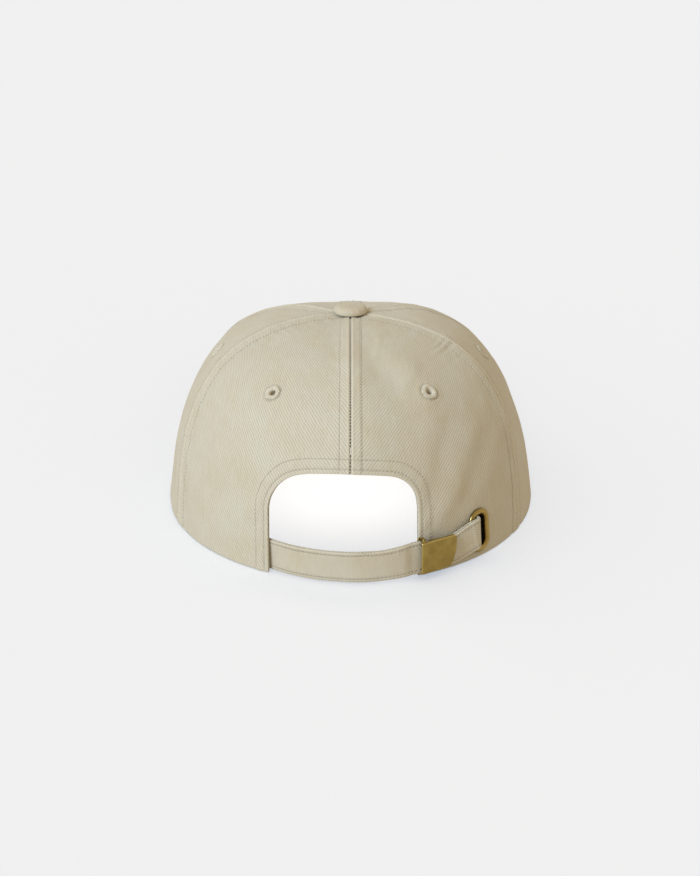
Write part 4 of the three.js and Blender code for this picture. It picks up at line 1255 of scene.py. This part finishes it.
def build_eyelet(name, turn, z):
    level = level_at(z)
    centre, across, up, out = tangent_frame(turn, level)
    centre = centre + out * float(drape(turn, level))

    def wobble(angle):
        return 1 + 0.03 * np.sin(3 * angle + turn) + 0.02 * np.sin(5 * angle + 2 * turn)

    bag = Bag()
    angle = (np.arange(56) / 56 * 2 * np.pi)[:, None, None]
    ring = (centre + (across * np.cos(angle) + up * np.sin(angle))
            * (EYELET_RING[None, :, 0:1] * wobble(angle)) + out * EYELET_RING[None, :, 1:2])
    # the ring under the threads is darker: painted shade in the gaps between threads and down the
    # hole
    bag.add(ring.reshape(-1, 3), torus_faces(56, len(EYELET_RING)), wear=-0.2)
    # threads laid over the ring, each a little askew
    for i in range(48):
        place = (i + 0.5) / 48 * 2 * np.pi + rng.normal(0, 0.025)
        radii = np.array([1.38, 1.58, 2.1, 2.8, 3.45, 3.85 + rng.normal(0, 0.04)])
        radii = (radii * wobble(place))[:, None]
        heights = np.array([-0.75, 0.12, 0.62, 0.72, 0.48, -0.10])[:, None]
        skew = (place + 0.10 * np.linspace(-0.5, 0.5, 6))[:, None]
        path = (centre + across * radii * np.cos(skew) + up * radii * np.sin(skew)
                + out * heights)
        bag.add(*tube(path, 0.25, out, 6, height=0.19, taper=[0.7, 0.85, 1, 1.05, 1.05, 0.7]),
                wear=rng.uniform(-0.1, 0.3))
    bag.make(name + "_thread", EYELET_THREAD, slot="eyelet_thread", node=name)


for name, (turn, z) in EYELETS.items():
    build_eyelet(name, turn, z)

# ------------------------------------------------------------------ top button
# radius, height: the dome, smoothed, then the underside
BUTTON_DOME = np.array([
    [0.001, 3.85], [1.4, 3.84], [3.0, 3.78], [4.7, 3.62], [6.0, 3.25], [6.9, 2.6], [7.35, 1.85],
    [7.5, 1.0], [7.4, 0.3], [6.9, -0.1]])
BUTTON_UNDER = [[6.0, -0.05], [4.5, 0.1], [2.4, 0.2], [0.001, 0.2]]


def build_button(sides=96):
    outline = np.vstack([resample(catmull(BUTTON_DOME, 6), 40), BUTTON_UNDER])
    count = len(outline)
    angle = (np.arange(sides) / sides * 2 * np.pi)[:, None]
    radius, height = outline[:, 0], outline[:, 1]
    pleat = 0.045 * smooth(4.6, 7.3, radius) * np.sin(17 * angle + 1.3 * np.sin(3 * angle))
    pleat = pleat * (np.arange(count) < 42)
    x, y = (radius + pleat) * np.cos(angle), (radius + pleat) * np.sin(angle)
    puff = 0.10 * fbm(101, x / 3.5, y / 3.5, 0.0) * (radius > 0.3)
    z = CROWN_H - 0.75 - 0.045 * y + height + 0.5 * pleat + puff
    faces = []
    for i in range(sides):
        here, after = i * count, (i + 1) % sides * count
        faces += [(here + j, after + j, after + j + 1, here + j + 1) for j in range(count - 1)]
    run = run_length(outline)
    uv = stack(run * np.cos(angle), run * np.sin(angle)).reshape(-1, 2)
    # lighter band where the dome's side is rubbed; painted shade on its underside and foot
    wear = np.tile(0.25 * bell(height - 1.5, 1.2) - 0.9 * (height < 0.35), sides)
    button = finish_mesh("top_button_cloth", (stack(x, y, z).reshape(-1, 3), faces, uv, wear),
                         BUTTON_CLOTH, slot="twill", node="top_button_shell")
    clean_mesh(button.data, merge=0.000012)


build_button()

# ------------------------------------------------------------------ strap and buckle frames
# The strap bends round STRAP_AT; bend is in degrees from the rear towards +x. Lengths along it
# are counted from the buckle's pin.
STRAP_T = 1.3
STRAP_R = 60.759         # radius of its outer face
STRAP_BACK_R = STRAP_R - STRAP_T
STRAP_MID_R = STRAP_BACK_R + STRAP_T / 2
STRAP_TILT = 1.2 * DEG
STRAP_AT = np.array([4.708, -40.224, 8.45])
STRAP_X = np.array([math.cos(STRAP_TILT), 0, math.sin(STRAP_TILT)])
STRAP_Y = np.array([0, 1.0, 0])
STRAP_UP = np.array([-math.sin(STRAP_TILT), 0, math.cos(STRAP_TILT)])
PIN_BEND = 26.4
PIN_H = 3.6              # height of the pin over the buckle's base
BASE_R = STRAP_BACK_R - 1.05
SEW_IN = 1.45            # distance of the strap's stitch rows from its edges


def strap_dir(bend):
    bend = np.asarray(bend, float)[..., None] * DEG
    return STRAP_X * np.sin(bend) - STRAP_Y * np.cos(bend)


def strap_point(bend, radius, up):
    return (STRAP_AT + strap_dir(bend) * np.asarray(radius, float)[..., None]
            + STRAP_UP * np.asarray(up, float)[..., None])


def bend_at(length):
    return PIN_BEND + length / STRAP_MID_R / DEG


def length_at(bend):
    return (bend - PIN_BEND) * DEG * STRAP_MID_R


BUCKLE_ALONG = STRAP_X * math.cos(PIN_BEND * DEG) + STRAP_Y * math.sin(PIN_BEND * DEG)
BUCKLE_OUT = strap_dir(PIN_BEND)
BUCKLE_DOWN = np.cross(BUCKLE_ALONG, BUCKLE_OUT)
BUCKLE_AT = strap_point(PIN_BEND, BASE_R, 0.0)


def buckle_point(along, out, down):
    return (BUCKLE_AT + BUCKLE_ALONG * np.asarray(along, float)[..., None]
            + BUCKLE_OUT * np.asarray(out, float)[..., None]
            + BUCKLE_DOWN * np.asarray(down, float)[..., None])


def strap_half(length):
    return 6.95 + 0.55 * smooth(-20, -2, length) - 1.95 * smooth(-0.9, 2.2, length)


def strap_shift(length):
    """How far the strap's middle rides up."""
    return 1.05 * smooth(-20, -2, length) - 0.7 * smooth(0, 3, length)


ACROSS = np.linspace(-1, 1, 34)
ACROSS = np.sign(ACROSS) * (1 - (1 - np.abs(ACROSS)) ** 1.35)    # closer towards the edges


# ------------------------------------------------------------------ strap
def build_strap():
    """Two cloth layers stitched at both edges."""
    bends = np.linspace(-53.6, float(bend_at(7.9)), 300)
    bend = bends[:, None]
    length = length_at(bend)
    half, shift = strap_half(length), strap_shift(length)
    up = ACROSS * half + shift
    edge = (1 - np.abs(ACROSS)) * half
    lively = smooth(0, 10, length - length[0]) * (1 - smooth(-6, 0, length))
    ripple = 0.34 * fbm(111, length / 12, up / 22, 1.0) + 0.13 * fbm(112, length / 4.5, up / 9, 2.0)
    ripple = ripple + 0.30 * bell(length + 30 + up * 0.5, 5.0)
    ripple = lively * (ripple - 0.26 * bell(length + 22 + up * 0.6, 4.0))
    dip = 0.17 * bell(edge - SEW_IN, 0.42)
    pucker = 0.07 * noise(113, length / 1.9, edge / 3, np.sign(ACROSS) * 3)
    pucker = pucker * bell(edge - 1.4, 1.6)
    sunk = smooth(-9, -4.5, length)      # drawn in towards the buckle
    front = STRAP_R - 0.02 - 0.64 * sunk + ripple + pucker - dip
    front = front - 0.30 * bell(edge, 0.28) + 0.05 * bell(edge - 0.7, 0.4)
    # lighter rubbed edges, painted shade along the stitch rows
    wear = 0.55 * bell(edge, 0.35) - 0.28 * bell(edge - SEW_IN, 0.4)
    wear = wear + 0.12 * fbm(114, length / 14, up / 8, 0)
    sag = -0.35 * bell(bend + 6, 26) * (1 - smooth(-6, 2, length))
    bag, hole_shades = Bag(), Bag()
    behind = np.minimum(front - 0.48, STRAP_R - 0.55 - 0.5 * sunk + ripple)
    bag.add(*shell(strap_point(bend, front, up + sag), strap_point(bend, behind, up + sag),
                   stack(length, up), wear))
    up = ACROSS * (half + 0.16) + 0.10 + shift
    outer = STRAP_R - 0.66 + ripple * 0.8 - 0.10 * bell(edge, 0.5)
    outer = outer + 0.05 * noise(115, length / 1.3, edge, 4.0)
    inner = STRAP_BACK_R - 0.02 + ripple * 0.5 + 0.10 * bell(edge - SEW_IN, 0.4)
    bag.add(*shell(strap_point(bend, np.minimum(outer, front - 0.60), up + sag),
                   strap_point(bend, np.minimum(inner, outer - 0.35), up + sag),
                   stack(length + 200, up), 0.45 * bell(edge, 0.3)))
    row = np.linspace(-53.0, float(bend_at(7.4)), 420)
    row_length = length_at(row)
    row_up = np.interp(row, bends, sag[:, 0]) + strap_shift(row_length)
    for side in (-1, 1):
        # the front layer's height is read from the column nearest the row
        miss = (1 - np.abs(ACROSS)) * 6.9 - SEW_IN + 100 * (np.sign(ACROSS) != side)
        column = int(np.argmin(np.abs(miss)))
        radius = np.interp(row, bends, (front + dip * 0.3)[:, column]) + 0.02
        path = strap_point(row, radius, side * (strap_half(row_length) - SEW_IN) + row_up)
        stitch_row(bag, hole_shades, path, strap_dir(row), **STRAP_STITCH)
        # thread loops over the edge between the two layers
        radius = np.interp(row, bends, ripple[:, 0]) + STRAP_R - 0.52
        radius = radius - 0.6 * smooth(-9, -4.5, row_length)
        path = strap_point(row, radius, side * (strap_half(row_length) + 0.06) + row_up)
        stitch_row(bag, None, path, np.tile(STRAP_UP * side, (len(row), 1)), **EDGE_STITCH)
    bag.make("closure_strap_cloth", STRAP_CLOTH, slot="twill", node="closure_strap", body="strap")
    # dark beads of painted shade in the needle holes
    hole_shades.make("closure_strap_needle_hole_shade", HOLE_SHADE, slot="twill", body="strap")


build_strap()

# ------------------------------------------------------------------ tail through the grommet
TAIL_START = 6.5         # lengths along the strap: start of the tail, and where it leaves the arc
TAIL_LEAVES = 16.6


def centripetal(points, count):
    """Smooth curve through unevenly spaced points."""
    padded = with_ends(np.asarray(points, float))
    curve = []
    for place in np.linspace(0, len(points) - 1, count):
        i = min(int(place), len(points) - 2)
        x = place - i
        p0, p1, p2, p3 = padded[i:i + 4]
        d0, d1, d2 = [max(1e-4, np.linalg.norm(end - start) ** 0.5)
                      for start, end in ((p0, p1), (p1, p2), (p2, p3))]
        t1 = ((p1 - p0) / d0 - (p2 - p0) / (d0 + d1) + (p2 - p1) / d1) * d1
        t2 = ((p2 - p1) / d1 - (p3 - p1) / (d1 + d2) + (p3 - p2) / d2) * d1
        curve.append(p1 + t1 * x + (-3 * p1 + 3 * p2 - 2 * t1 - t2) * x * x
                     + (2 * p1 - 2 * p2 + t1 + t2) * x ** 3)
    return np.array(curve)


def build_tail():
    free = centripetal([
        strap_point(bend_at(TAIL_LEAVES), STRAP_MID_R, 0.0),
        strap_point(bend_at(TAIL_LEAVES + 1.8), STRAP_MID_R, 0.2),
        grommet_point(-8.0, -0.55, 2.7), grommet_point(-5.6, 0.2, 3.4),
        grommet_point(-3.3, 0.45, 3.25), grommet_point(-1.55, 0.3, 1.3),
        grommet_point(0.1, 0.1, -1.2), grommet_point(1.7, 0, -3.4)], 90)
    length = np.linspace(TAIL_START, TAIL_LEAVES, 32)[:-1]
    under = strap_point(bend_at(length), STRAP_MID_R + 0.55 * (1 - smooth(12.5, 16.4, length)),
                        0.4 * (1 - smooth(13.0, 16.6, length)))
    centre = resample(np.vstack([under, free]), 170)
    run = run_length(centre)
    left_at = run_length(np.vstack([under, free[:1]]))[-1]
    share = np.clip((run - left_at) / (run[-1] - left_at), 0, 1)
    wide = unit(STRAP_UP * (1 - share)[:, None] + GROM_Y * share[:, None])
    tangent = unit(np.gradient(centre, axis=0))
    out = unit(np.cross(tangent, wide))
    wide = np.cross(out, tangent)
    half = 5.45 + 1.2 * smooth(13.4, 17.4, TAIL_START + run)
    half = half + 0.25 * smooth(0.15, 0.55, share) - 0.30 * smooth(0.72, 0.9, share)
    thin = 0.45 + 0.55 * smooth(12.0, 16.6, TAIL_START + run)

    def tail_point(across, height):
        return (centre[:, None] + wide[:, None] * across[..., None]
                + out[:, None] * height[..., None])

    along, shares, halves, thins = (row[:, None] for row in (run, share, half, thin))
    across = ACROSS * halves
    edge = (1 - np.abs(ACROSS)) * halves
    ripple = smooth(0.0, 0.10, shares) * (1 - smooth(0.55, 0.75, shares))
    ripple = ripple * 0.12 * fbm(121, along / 6, across / 12, 1.0)
    pucker = 0.06 * noise(123, along / 1.9, edge / 3, np.sign(ACROSS) * 3)
    face = 0.65 - 0.20 * bell(edge, 0.22) - 0.17 * bell(edge - SEW_IN, 0.42)
    face = (face + pucker * bell(edge - 1.4, 1.6)) * thins + ripple
    # lighter rubbed edges, painted shade along the stitch rows
    wear = 0.55 * bell(edge, 0.35) - 0.28 * bell(edge - SEW_IN, 0.4)
    bag, hole_shades = Bag(), Bag()
    bag.add(*shell(tail_point(across, face), tail_point(across, 0.14 * thins + ripple),
                   stack(along, across), wear))
    wider = 0.30 * smooth(16.6, 18, TAIL_START + along) * (1 - smooth(0.5, 0.65, shares))
    across = ACROSS * (halves + wider) + 0.05
    bag.add(*shell(tail_point(across, -0.12 * thins + ripple - 0.02),
                   tail_point(across, -0.63 * thins + ripple),
                   stack(along + 90, across), 0.45 * bell(edge, 0.3)))
    for side in (-1, 1):
        path = centre + wide * (side * (half - SEW_IN))[:, None] + out * (0.55 * thin)[:, None]
        stitch_row(bag, hole_shades, path[4:150], out[4:150], **TAIL_STITCH)
    tail = bag.make("strap_tail_cloth", STRAP_CLOTH, slot="twill", node="strap_tail", body=None)
    # dark beads of painted shade in the needle holes
    tail_hole_shades = hole_shades.make("strap_tail_needle_hole_shade", HOLE_SHADE, slot="twill", body=None)
    for piece in (tail, tail_hole_shades):
        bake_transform(piece)


build_tail()

# ------------------------------------------------------------------ tab that holds the buckle
# along, out: the tab's middle line, looped round the frame's bar, before it follows the strap
TAB_LINE = np.array([
    [9.9, -4.3], [4.9, -4.35], [0.4, -4.35], [-1.3, -4.05], [-2.45, -2.75], [-3.7, -2.4],
    [-4.8, -2.75], [-5.25, -3.6], [-4.9, -4.4], [-3.5, -5.05], [-1.1, -5.3], [4.9, -5.3],
    [9.9, -5.3]])
TAB_HALF_W = 4.3


def build_tab():
    line = TAB_LINE - np.outer(TAB_LINE[:, 0] ** 2 / (2 * BASE_R), [0, 1])
    line = resample(catmull(line, 12), 110)
    aside = side_normals(line)[:, None]
    run, share = np.meshgrid(run_length(line), np.linspace(-1, 1, 20), indexing="ij")
    down = share * TAB_HALF_W
    edge = (1 - np.abs(share)) * TAB_HALF_W
    thick = (0.28 - 0.12 * bell(edge, 0.3))[..., None] * aside
    front, back = line[:, None] + thick, line[:, None] - thick
    piece = shell(buckle_point(front[..., 0], front[..., 1], down),
                  buckle_point(back[..., 0], back[..., 1], down), stack(run, down),
                  0.5 * bell(edge, 0.4))
    finish_mesh("buckle_tab_cloth", piece, STRAP_CLOTH, slot="twill", node="buckle_tab")


build_tab()

# ------------------------------------------------------------------ lever of the buckle
COVER_HALF_W = 7.45
COVER_WALL = 0.5
COVER_CORNER = 0.75
COVER_START, COVER_END = -1.65, 17.2
# length along the cover, depth of its side flanges
FLANGE = np.array([[-1, 0.60], [1.2, 0.65], [2.2, 2.3], [3.0, 2.7], [9.5, 1.3], [17.2, 1.2]])


def lever_section(flange, half, corner):
    """Cross-section of the cover as (down, out), from one flange's foot to the other's."""
    shoulder = [(-half, -flange), (-half, -flange * 0.5), (-half, -corner)]
    shoulder += [(-half + corner - corner * math.cos(angle), -corner + corner * math.sin(angle))
                 for angle in np.linspace(0, np.pi / 2, 9)[1:]]
    flat = [(x, 0.0) for x in np.linspace(corner - half, half - corner, 26)[1:-1]]
    return np.array(shoulder + flat + [(-x, y) for x, y in reversed(shoulder)])


def lever_cover():
    shares = np.concatenate([np.linspace(0, 0.05, 6)[:-1], np.linspace(0.05, 0.94, 26)[:-1],
                             np.linspace(0.94, 1, 9)])
    outer, inner, worn_and_shaded = [], [], []
    for share in shares:
        along = COVER_START + (COVER_END - COVER_START) * share
        out = min(4.92, 5.0 - along / COVER_END * (5.0 - 1.42))
        centre = -1.5 + 0.05 * (along + 1)       # the cover sits high on the strap
        flange = np.interp(along, *FLANGE.T)
        from_start, from_end = along - COVER_START, COVER_END - along
        rounding = (0.45 * max(0.0, 1 - min(1.0, from_start / 0.45)) ** 2
                    + 0.36 * max(0.0, 1 - from_end / 0.5) ** 2)
        down, drop = lever_section(flange, COVER_HALF_W, COVER_CORNER).T
        in_down, in_drop = lever_section(flange, COVER_HALF_W - COVER_WALL,
                                         COVER_CORNER - 0.25).T
        # the far end is bowed and a little askew
        squared = (down / COVER_HALF_W) ** 2
        bow = -1.35 * squared - 0.45 * np.maximum(0, (np.abs(down) - 5.4) / 1.45) ** 2
        bow = bow * share ** 3 - (0.03 + 0.18 * share) * down
        outer.append(buckle_point(along + bow, out + drop + 0.10 * (1 - squared) - rounding,
                                  down + centre))
        depth = out + in_drop - COVER_WALL * (np.abs(in_drop) < 0.6)
        inner.append(buckle_point(along + bow, np.maximum(depth, out - flange),
                                  in_down + centre))
        # lighter where the ends and side edges are rubbed; painted shade on the flanges' lower
        # parts
        wear = 0.85 * bell(from_start, 0.45) + 0.6 * bell(from_end, 0.4)
        wear = wear + 0.7 * bell(np.abs(down) - COVER_HALF_W + 0.2, 0.3) * (drop > -1.2)
        worn_and_shaded.append(np.clip(wear, 0, 1) - 0.5 * (drop < -1.2))
    return shell(np.array(outer), np.array(inner), None, np.array(worn_and_shaded))


def barrel(start, end, rings=15, sides=24):
    """Hollow cylinder round the pin."""
    path = buckle_point(0.0, PIN_H, np.linspace(start, end, rings))
    angle = (np.arange(sides) / sides * 2 * np.pi)[:, None]
    spoke = BUCKLE_ALONG * np.cos(angle) + BUCKLE_OUT * np.sin(angle)
    points = np.vstack([(path[:, None] + spoke * radius).reshape(-1, 3)
                        for radius in (0.98, 0.62)])
    hollow = rings * sides       # number of the first inner point
    faces = []
    for i in range(rings - 1):
        here, after = i * sides, (i + 1) * sides
        faces += strip(here, after, sides) + strip(hollow + here, hollow + after, sides)
    for end_ring in (0, hollow - sides):
        faces += strip(end_ring, hollow + end_ring, sides)
    return points, faces


lever = Bag()
lever.add(*lever_cover())
for start, end in ((-9.75, -8.05), (-7.2, 4.1)):
    lever.add(*barrel(start, end), wear=0.1)
lever.make("buckle_lever_brass", BRASS, slot="antique_brass", node="buckle_lever", body="lever")

# ------------------------------------------------------------------ frame of the buckle
PLATE_START, PLATE_END = -1.7, 13.8
EAR_HALF_W = 0.95
EAR_HALF_T = 0.17
EAR_HOLE_R = 0.52


def frame_plate():
    along = np.concatenate([np.linspace(PLATE_START, 2.8, 22), np.linspace(3.2, PLATE_END, 24)])
    half = 7.0 - 1.15 * smooth(1.0, 2.6, along) - 0.5 * smooth(12.9, PLATE_END, along)
    half = half - 0.5 * (1 - smooth(PLATE_START, -1.1, along))
    half, share = np.meshgrid(half, np.linspace(-1, 1, 30), indexing="ij")
    along = along[:, None]
    raised = 1 - smooth(1.0, 2.6, along)     # the pin's end reaches higher
    down = share * (half + 0.30 * raised) - 0.6 - 2.05 * raised
    out = np.sqrt((BASE_R + 0.75) ** 2 - along ** 2) - BASE_R
    edge = np.minimum((1 - np.abs(share)) * (half + 0.72 * raised),
                      np.minimum(along - PLATE_START, PLATE_END - along))
    return shell(buckle_point(along, out - 0.16 * bell_edge(edge), down),
                 buckle_point(along, out - 0.50 + 0.10 * bell_edge(edge), down),
                 None, 0.5 * bell(edge, 0.25))


def bell_edge(edge):
    """Rounding of the plate's edges."""
    return bell(edge, 0.15)


def ear_top(down):
    """Upper half of an ear, with a round top over the pin."""
    angles = np.linspace(0, np.pi, 15)[1:-1]
    outline = [(-EAR_HALF_W, 0.35), (-EAR_HALF_W, PIN_H)]
    outline += [(-EAR_HALF_W * math.cos(angle), PIN_H + EAR_HALF_W * math.sin(angle))
                for angle in angles]
    outline += [(EAR_HALF_W, PIN_H), (EAR_HALF_W, 0.35)]
    outline = resample(np.array(outline), 40)
    angles = np.linspace(0, np.pi, 40)
    hole = np.stack([-EAR_HOLE_R * np.cos(angles), PIN_H + EAR_HOLE_R * np.sin(angles)], 1)
    hole[[0, -1], 1] = PIN_H - 0.1
    faces = [np.stack([buckle_point(*line.T, down + side) for line in (outline, hole)], 1)
             for side in (-EAR_HALF_T, EAR_HALF_T)]
    return shell(*faces)[:2]


def ear_foot(down):
    """Lower half of an ear, under the pin."""
    along, out = np.meshgrid(np.linspace(-EAR_HALF_W, EAR_HALF_W, 9),
                             np.linspace(0.4, PIN_H - 0.05, 8), indexing="ij")
    out = np.minimum(out, PIN_H - np.sqrt(np.maximum(0, EAR_HOLE_R ** 2 - along ** 2)))
    return shell(*(buckle_point(along, out, down + side)
                   for side in (-EAR_HALF_T, EAR_HALF_T)))[:2]


# along, out: side arm from the plate down to the tab's bar
ARM_LINE = np.array([[-1.6, 0.45], [-2.35, 0.3], [-3.0, -1.2], [-3.45, -2.6], [-3.55, -3.5]])
buckle = Bag()
buckle.add(*frame_plate())
arm = resample(catmull(ARM_LINE, 8), 16)
for ear_down, arm_down in ((-10.0, -4.6), (4.45, 3.8)):
    # painted shade on the ears' tops under the lever
    buckle.add(*ear_top(ear_down), wear=-0.25)
    buckle.add(*ear_foot(ear_down), wear=0.2)
    path = buckle_point(arm[:, 0], arm[:, 1], arm_down)
    buckle.add(*tube(path, 0.38, BUCKLE_DOWN, 8, height=0.42), wear=0.1)
path = buckle_point(-3.55, -3.55, np.linspace(-4.9, 4.1, 22))
buckle.add(*tube(path, 0.52, BUCKLE_OUT, 12), wear=0.1)
buckle.make("buckle_frame_brass", BRASS, slot="antique_brass", node="buckle_frame")


# ------------------------------------------------------------------ grommet
def oval(margin, steps=12):
    """The grommet's hole, grown by a margin."""
    corner = GROMMET_CORNER + margin
    half_x, half_y = GROMMET_HALF - GROMMET_CORNER
    points = []
    for sign_x, sign_y, start in ((1, 1, 0), (-1, 1, 90), (-1, -1, 180), (1, -1, 270)):
        for i in range(steps + 1):
            angle = (start + 90 * i / steps) * DEG
            points.append((sign_x * half_x + corner * math.cos(angle),
                           sign_y * half_y + corner * math.sin(angle)))
    return np.array(points)


def grommet_highlight_and_shade(height):
    """Painted highlight on the crest, painted shade low down at the foot and in the hole."""
    for above, wear in ((1.28, 0.65), (0.85, 0.1), (0.4, -0.35)):
        if height > above:
            return wear
    return -0.95


def build_grommet():
    # (margin from the hole, height) round the ring's section
    section = [(0.0, -2.3), (0.0, 0.25)]
    section += [(1.32 - 1.32 * math.cos(angle), 0.30 + 1.10 * math.sin(angle))
                for angle in np.linspace(0.12, np.pi - 0.12, 13)]
    section += [(2.66, 0.12), (2.3, 0.02), (0.5, 0.02), (0.5, -2.3)]
    rings = []
    for margin, height in section:
        ring = oval(margin)
        ring = resample(np.vstack([ring, ring[:1]]), 121)[:-1]
        rings.append(grommet_point(ring[:, :1], ring[:, 1:], height))
    wear = np.repeat([grommet_highlight_and_shade(height) for _, height in section], 120)
    piece = (np.vstack(rings), torus_faces(len(section), 120), None, wear)
    finish_mesh("grommet_face_brass", piece, RING_BRASS, slot="antique_brass",
                node="grommet_face")


build_grommet()

# ------------------------------------------------------------------ pin
pin = Bag()
path = buckle_point(0.0, PIN_H, np.linspace(-10.45, 4.8, 24))
pin.add(*tube(path, 0.46, BUCKLE_OUT, 16), wear=0.1)
for head in (-10.5, 4.62):
    path = buckle_point(0.0, PIN_H, np.linspace(head, head + 0.3, 4))
    pin.add(*tube(path, 0.68, BUCKLE_OUT, 16), wear=-0.15)
pin.make("buckle_pin_brass", RING_BRASS, slot="antique_brass", node="buckle_pin")


# ------------------------------------------------------------------ parts kept from the CAD
def keep(node, material, bevel=None):
    """Give a CAD part its finish, and a bevel in metres."""
    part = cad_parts[node]
    part.data.materials.clear()
    part.data.materials.append(material)
    if bevel:
        modifier = part.modifiers.new("soft_edges", "BEVEL")
        modifier.width = bevel
        modifier.segments = 2
        modifier.limit_method = "ANGLE"
        modifier.angle_limit = 35 * DEG
        modifier.harden_normals = False
    for polygon in part.data.polygons:
        polygon.use_smooth = False


keep("grommet_washer", RING_BRASS, bevel=0.00008)
keep("top_button_prong", PRONG_METAL, bevel=0.00010)
keep("visor_board", BOARD_FIBRE)

# ------------------------------------------------------------------ sweatband's core
turns, heights = np.meshgrid(np.linspace(27.0, 360 - 31.8, 260), np.linspace(2.0, 30.0, 12),
                             indexing="ij")
core = Bag()
core.add(*shell(band_point(turns, -3.45, heights), band_point(turns, -3.95, heights)))
core.make("sweatband_core_fleece", CORE_FIBRE, slot="lining_cotton", node="sweatband_core")

# ------------------------------------------------------------------ floor
FLOOR_HALF = 15
FLOOR_Z = -0.0003
scene = bpy.context.scene


def place(name, data):
    made = bpy.data.objects.new(name, data)
    scene.collection.objects.link(made)
    return made


mesh = bpy.data.meshes.new("floor")
mesh.from_pydata([(x * FLOOR_HALF, y * FLOOR_HALF, FLOOR_Z)
                  for x, y in ((-1, -1), (1, -1), (1, 1), (-1, 1))], [], [(0, 1, 2, 3)])
floor = place("floor", mesh)
# part glow, part plain white, so that only the ground contact darkens it
shade = Shader("floor_pale")
grain = shade.ramp(shade.noise(shade.object_space(), 3.0, 3), 0.3, 0.7)
light_path = shade.tree.nodes.new("ShaderNodeLightPath")
shade.set("Base Color", shade.mix(grain, (0.858, 0.858, 0.860, 1), (0.862, 0.862, 0.862, 1)))
shade.set("Roughness", 1.0)
shade.set("Specular IOR Level", 0.0)
shade.set("Emission Color", shade.mix(light_path.outputs["Is Camera Ray"],
                                      (0.062, 0.057, 0.047, 1), (0.336, 0.401, 0.500, 1)))
shade.set("Emission Strength", 1.0)
mesh.materials.append(shade.material)

# ------------------------------------------------------------------ world: warm light, grey to see
world = bpy.data.worlds.new("soft_world")
scene.world = world
world.use_nodes = True
tree = world.node_tree
background = tree.nodes["Background"]
light_path = tree.nodes.new("ShaderNodeLightPath")
choice = tree.nodes.new("ShaderNodeMix")
choice.data_type = "RGBA"
tree.links.new(light_path.outputs["Is Camera Ray"], choice.inputs["Factor"])
choice.inputs[6].default_value = (0.627, 0.55, 0.434, 1)
choice.inputs[7].default_value = (0.871, 0.871, 0.871, 1)
tree.links.new(choice.outputs[2], background.inputs[0])
background.inputs[1].default_value = 1.0

# ------------------------------------------------------------------ lights
# a soft light inside the crown that reaches only the floor
light = bpy.data.lights.new("inside", "AREA")
light.shape = "RECTANGLE"
light.size = 0.10
light.size_y = 0.10
light.energy = 0.045
light.color = (1.0, 0.90, 0.76)
inside = place("inside", light)
inside.location = (-0.003, (AXIS_Y + 2) * MM, 0.060)
inside.visible_camera = False
floor_only = bpy.data.collections.new("inside_lights_floor")
floor_only.objects.link(floor)
inside.light_linking.receiver_collection = floor_only

# a cool sun from the rear left that leaves out the floor
light = bpy.data.lights.new("key", "SUN")
light.energy = 2.37
light.angle = 24 * DEG
light.color = (0.662, 0.808, 1.0)
key = bpy.data.objects.new("key", light)
towards_sun = Vector((-0.60, -0.60, 0.53)).normalized()
key.rotation_euler = (-towards_sun).to_track_quat("-Z", "Y").to_euler()
scene.collection.objects.link(key)
all_but_floor = bpy.data.collections.new("key_leaves_out_floor")
all_but_floor.objects.link(floor)
key.light_linking.receiver_collection = all_but_floor
all_but_floor.collection_objects[0].light_linking.link_state = "EXCLUDE"

# ------------------------------------------------------------------ camera
CAMERA_DISTANCE = 1.5
CAMERA_ELEVATION = 23.75 * DEG
lens = bpy.data.cameras.new("camera")
lens.sensor_width = 36
lens.sensor_fit = "AUTO"
lens.lens = 132.20548
lens.shift_x = -0.00057078
lens.shift_y = 0.0613014
lens.clip_start = 0.05
lens.clip_end = 60
camera = place("camera", lens)
camera.location = (0, AXIS_Y * MM - CAMERA_DISTANCE * math.cos(CAMERA_ELEVATION),
                   CAMERA_DISTANCE * math.sin(CAMERA_ELEVATION))
camera.rotation_euler = (math.pi / 2 - CAMERA_ELEVATION, 0, 0)
scene.camera = camera
scene.view_settings.view_transform = "Standard"

bpy.context.view_layer.update()
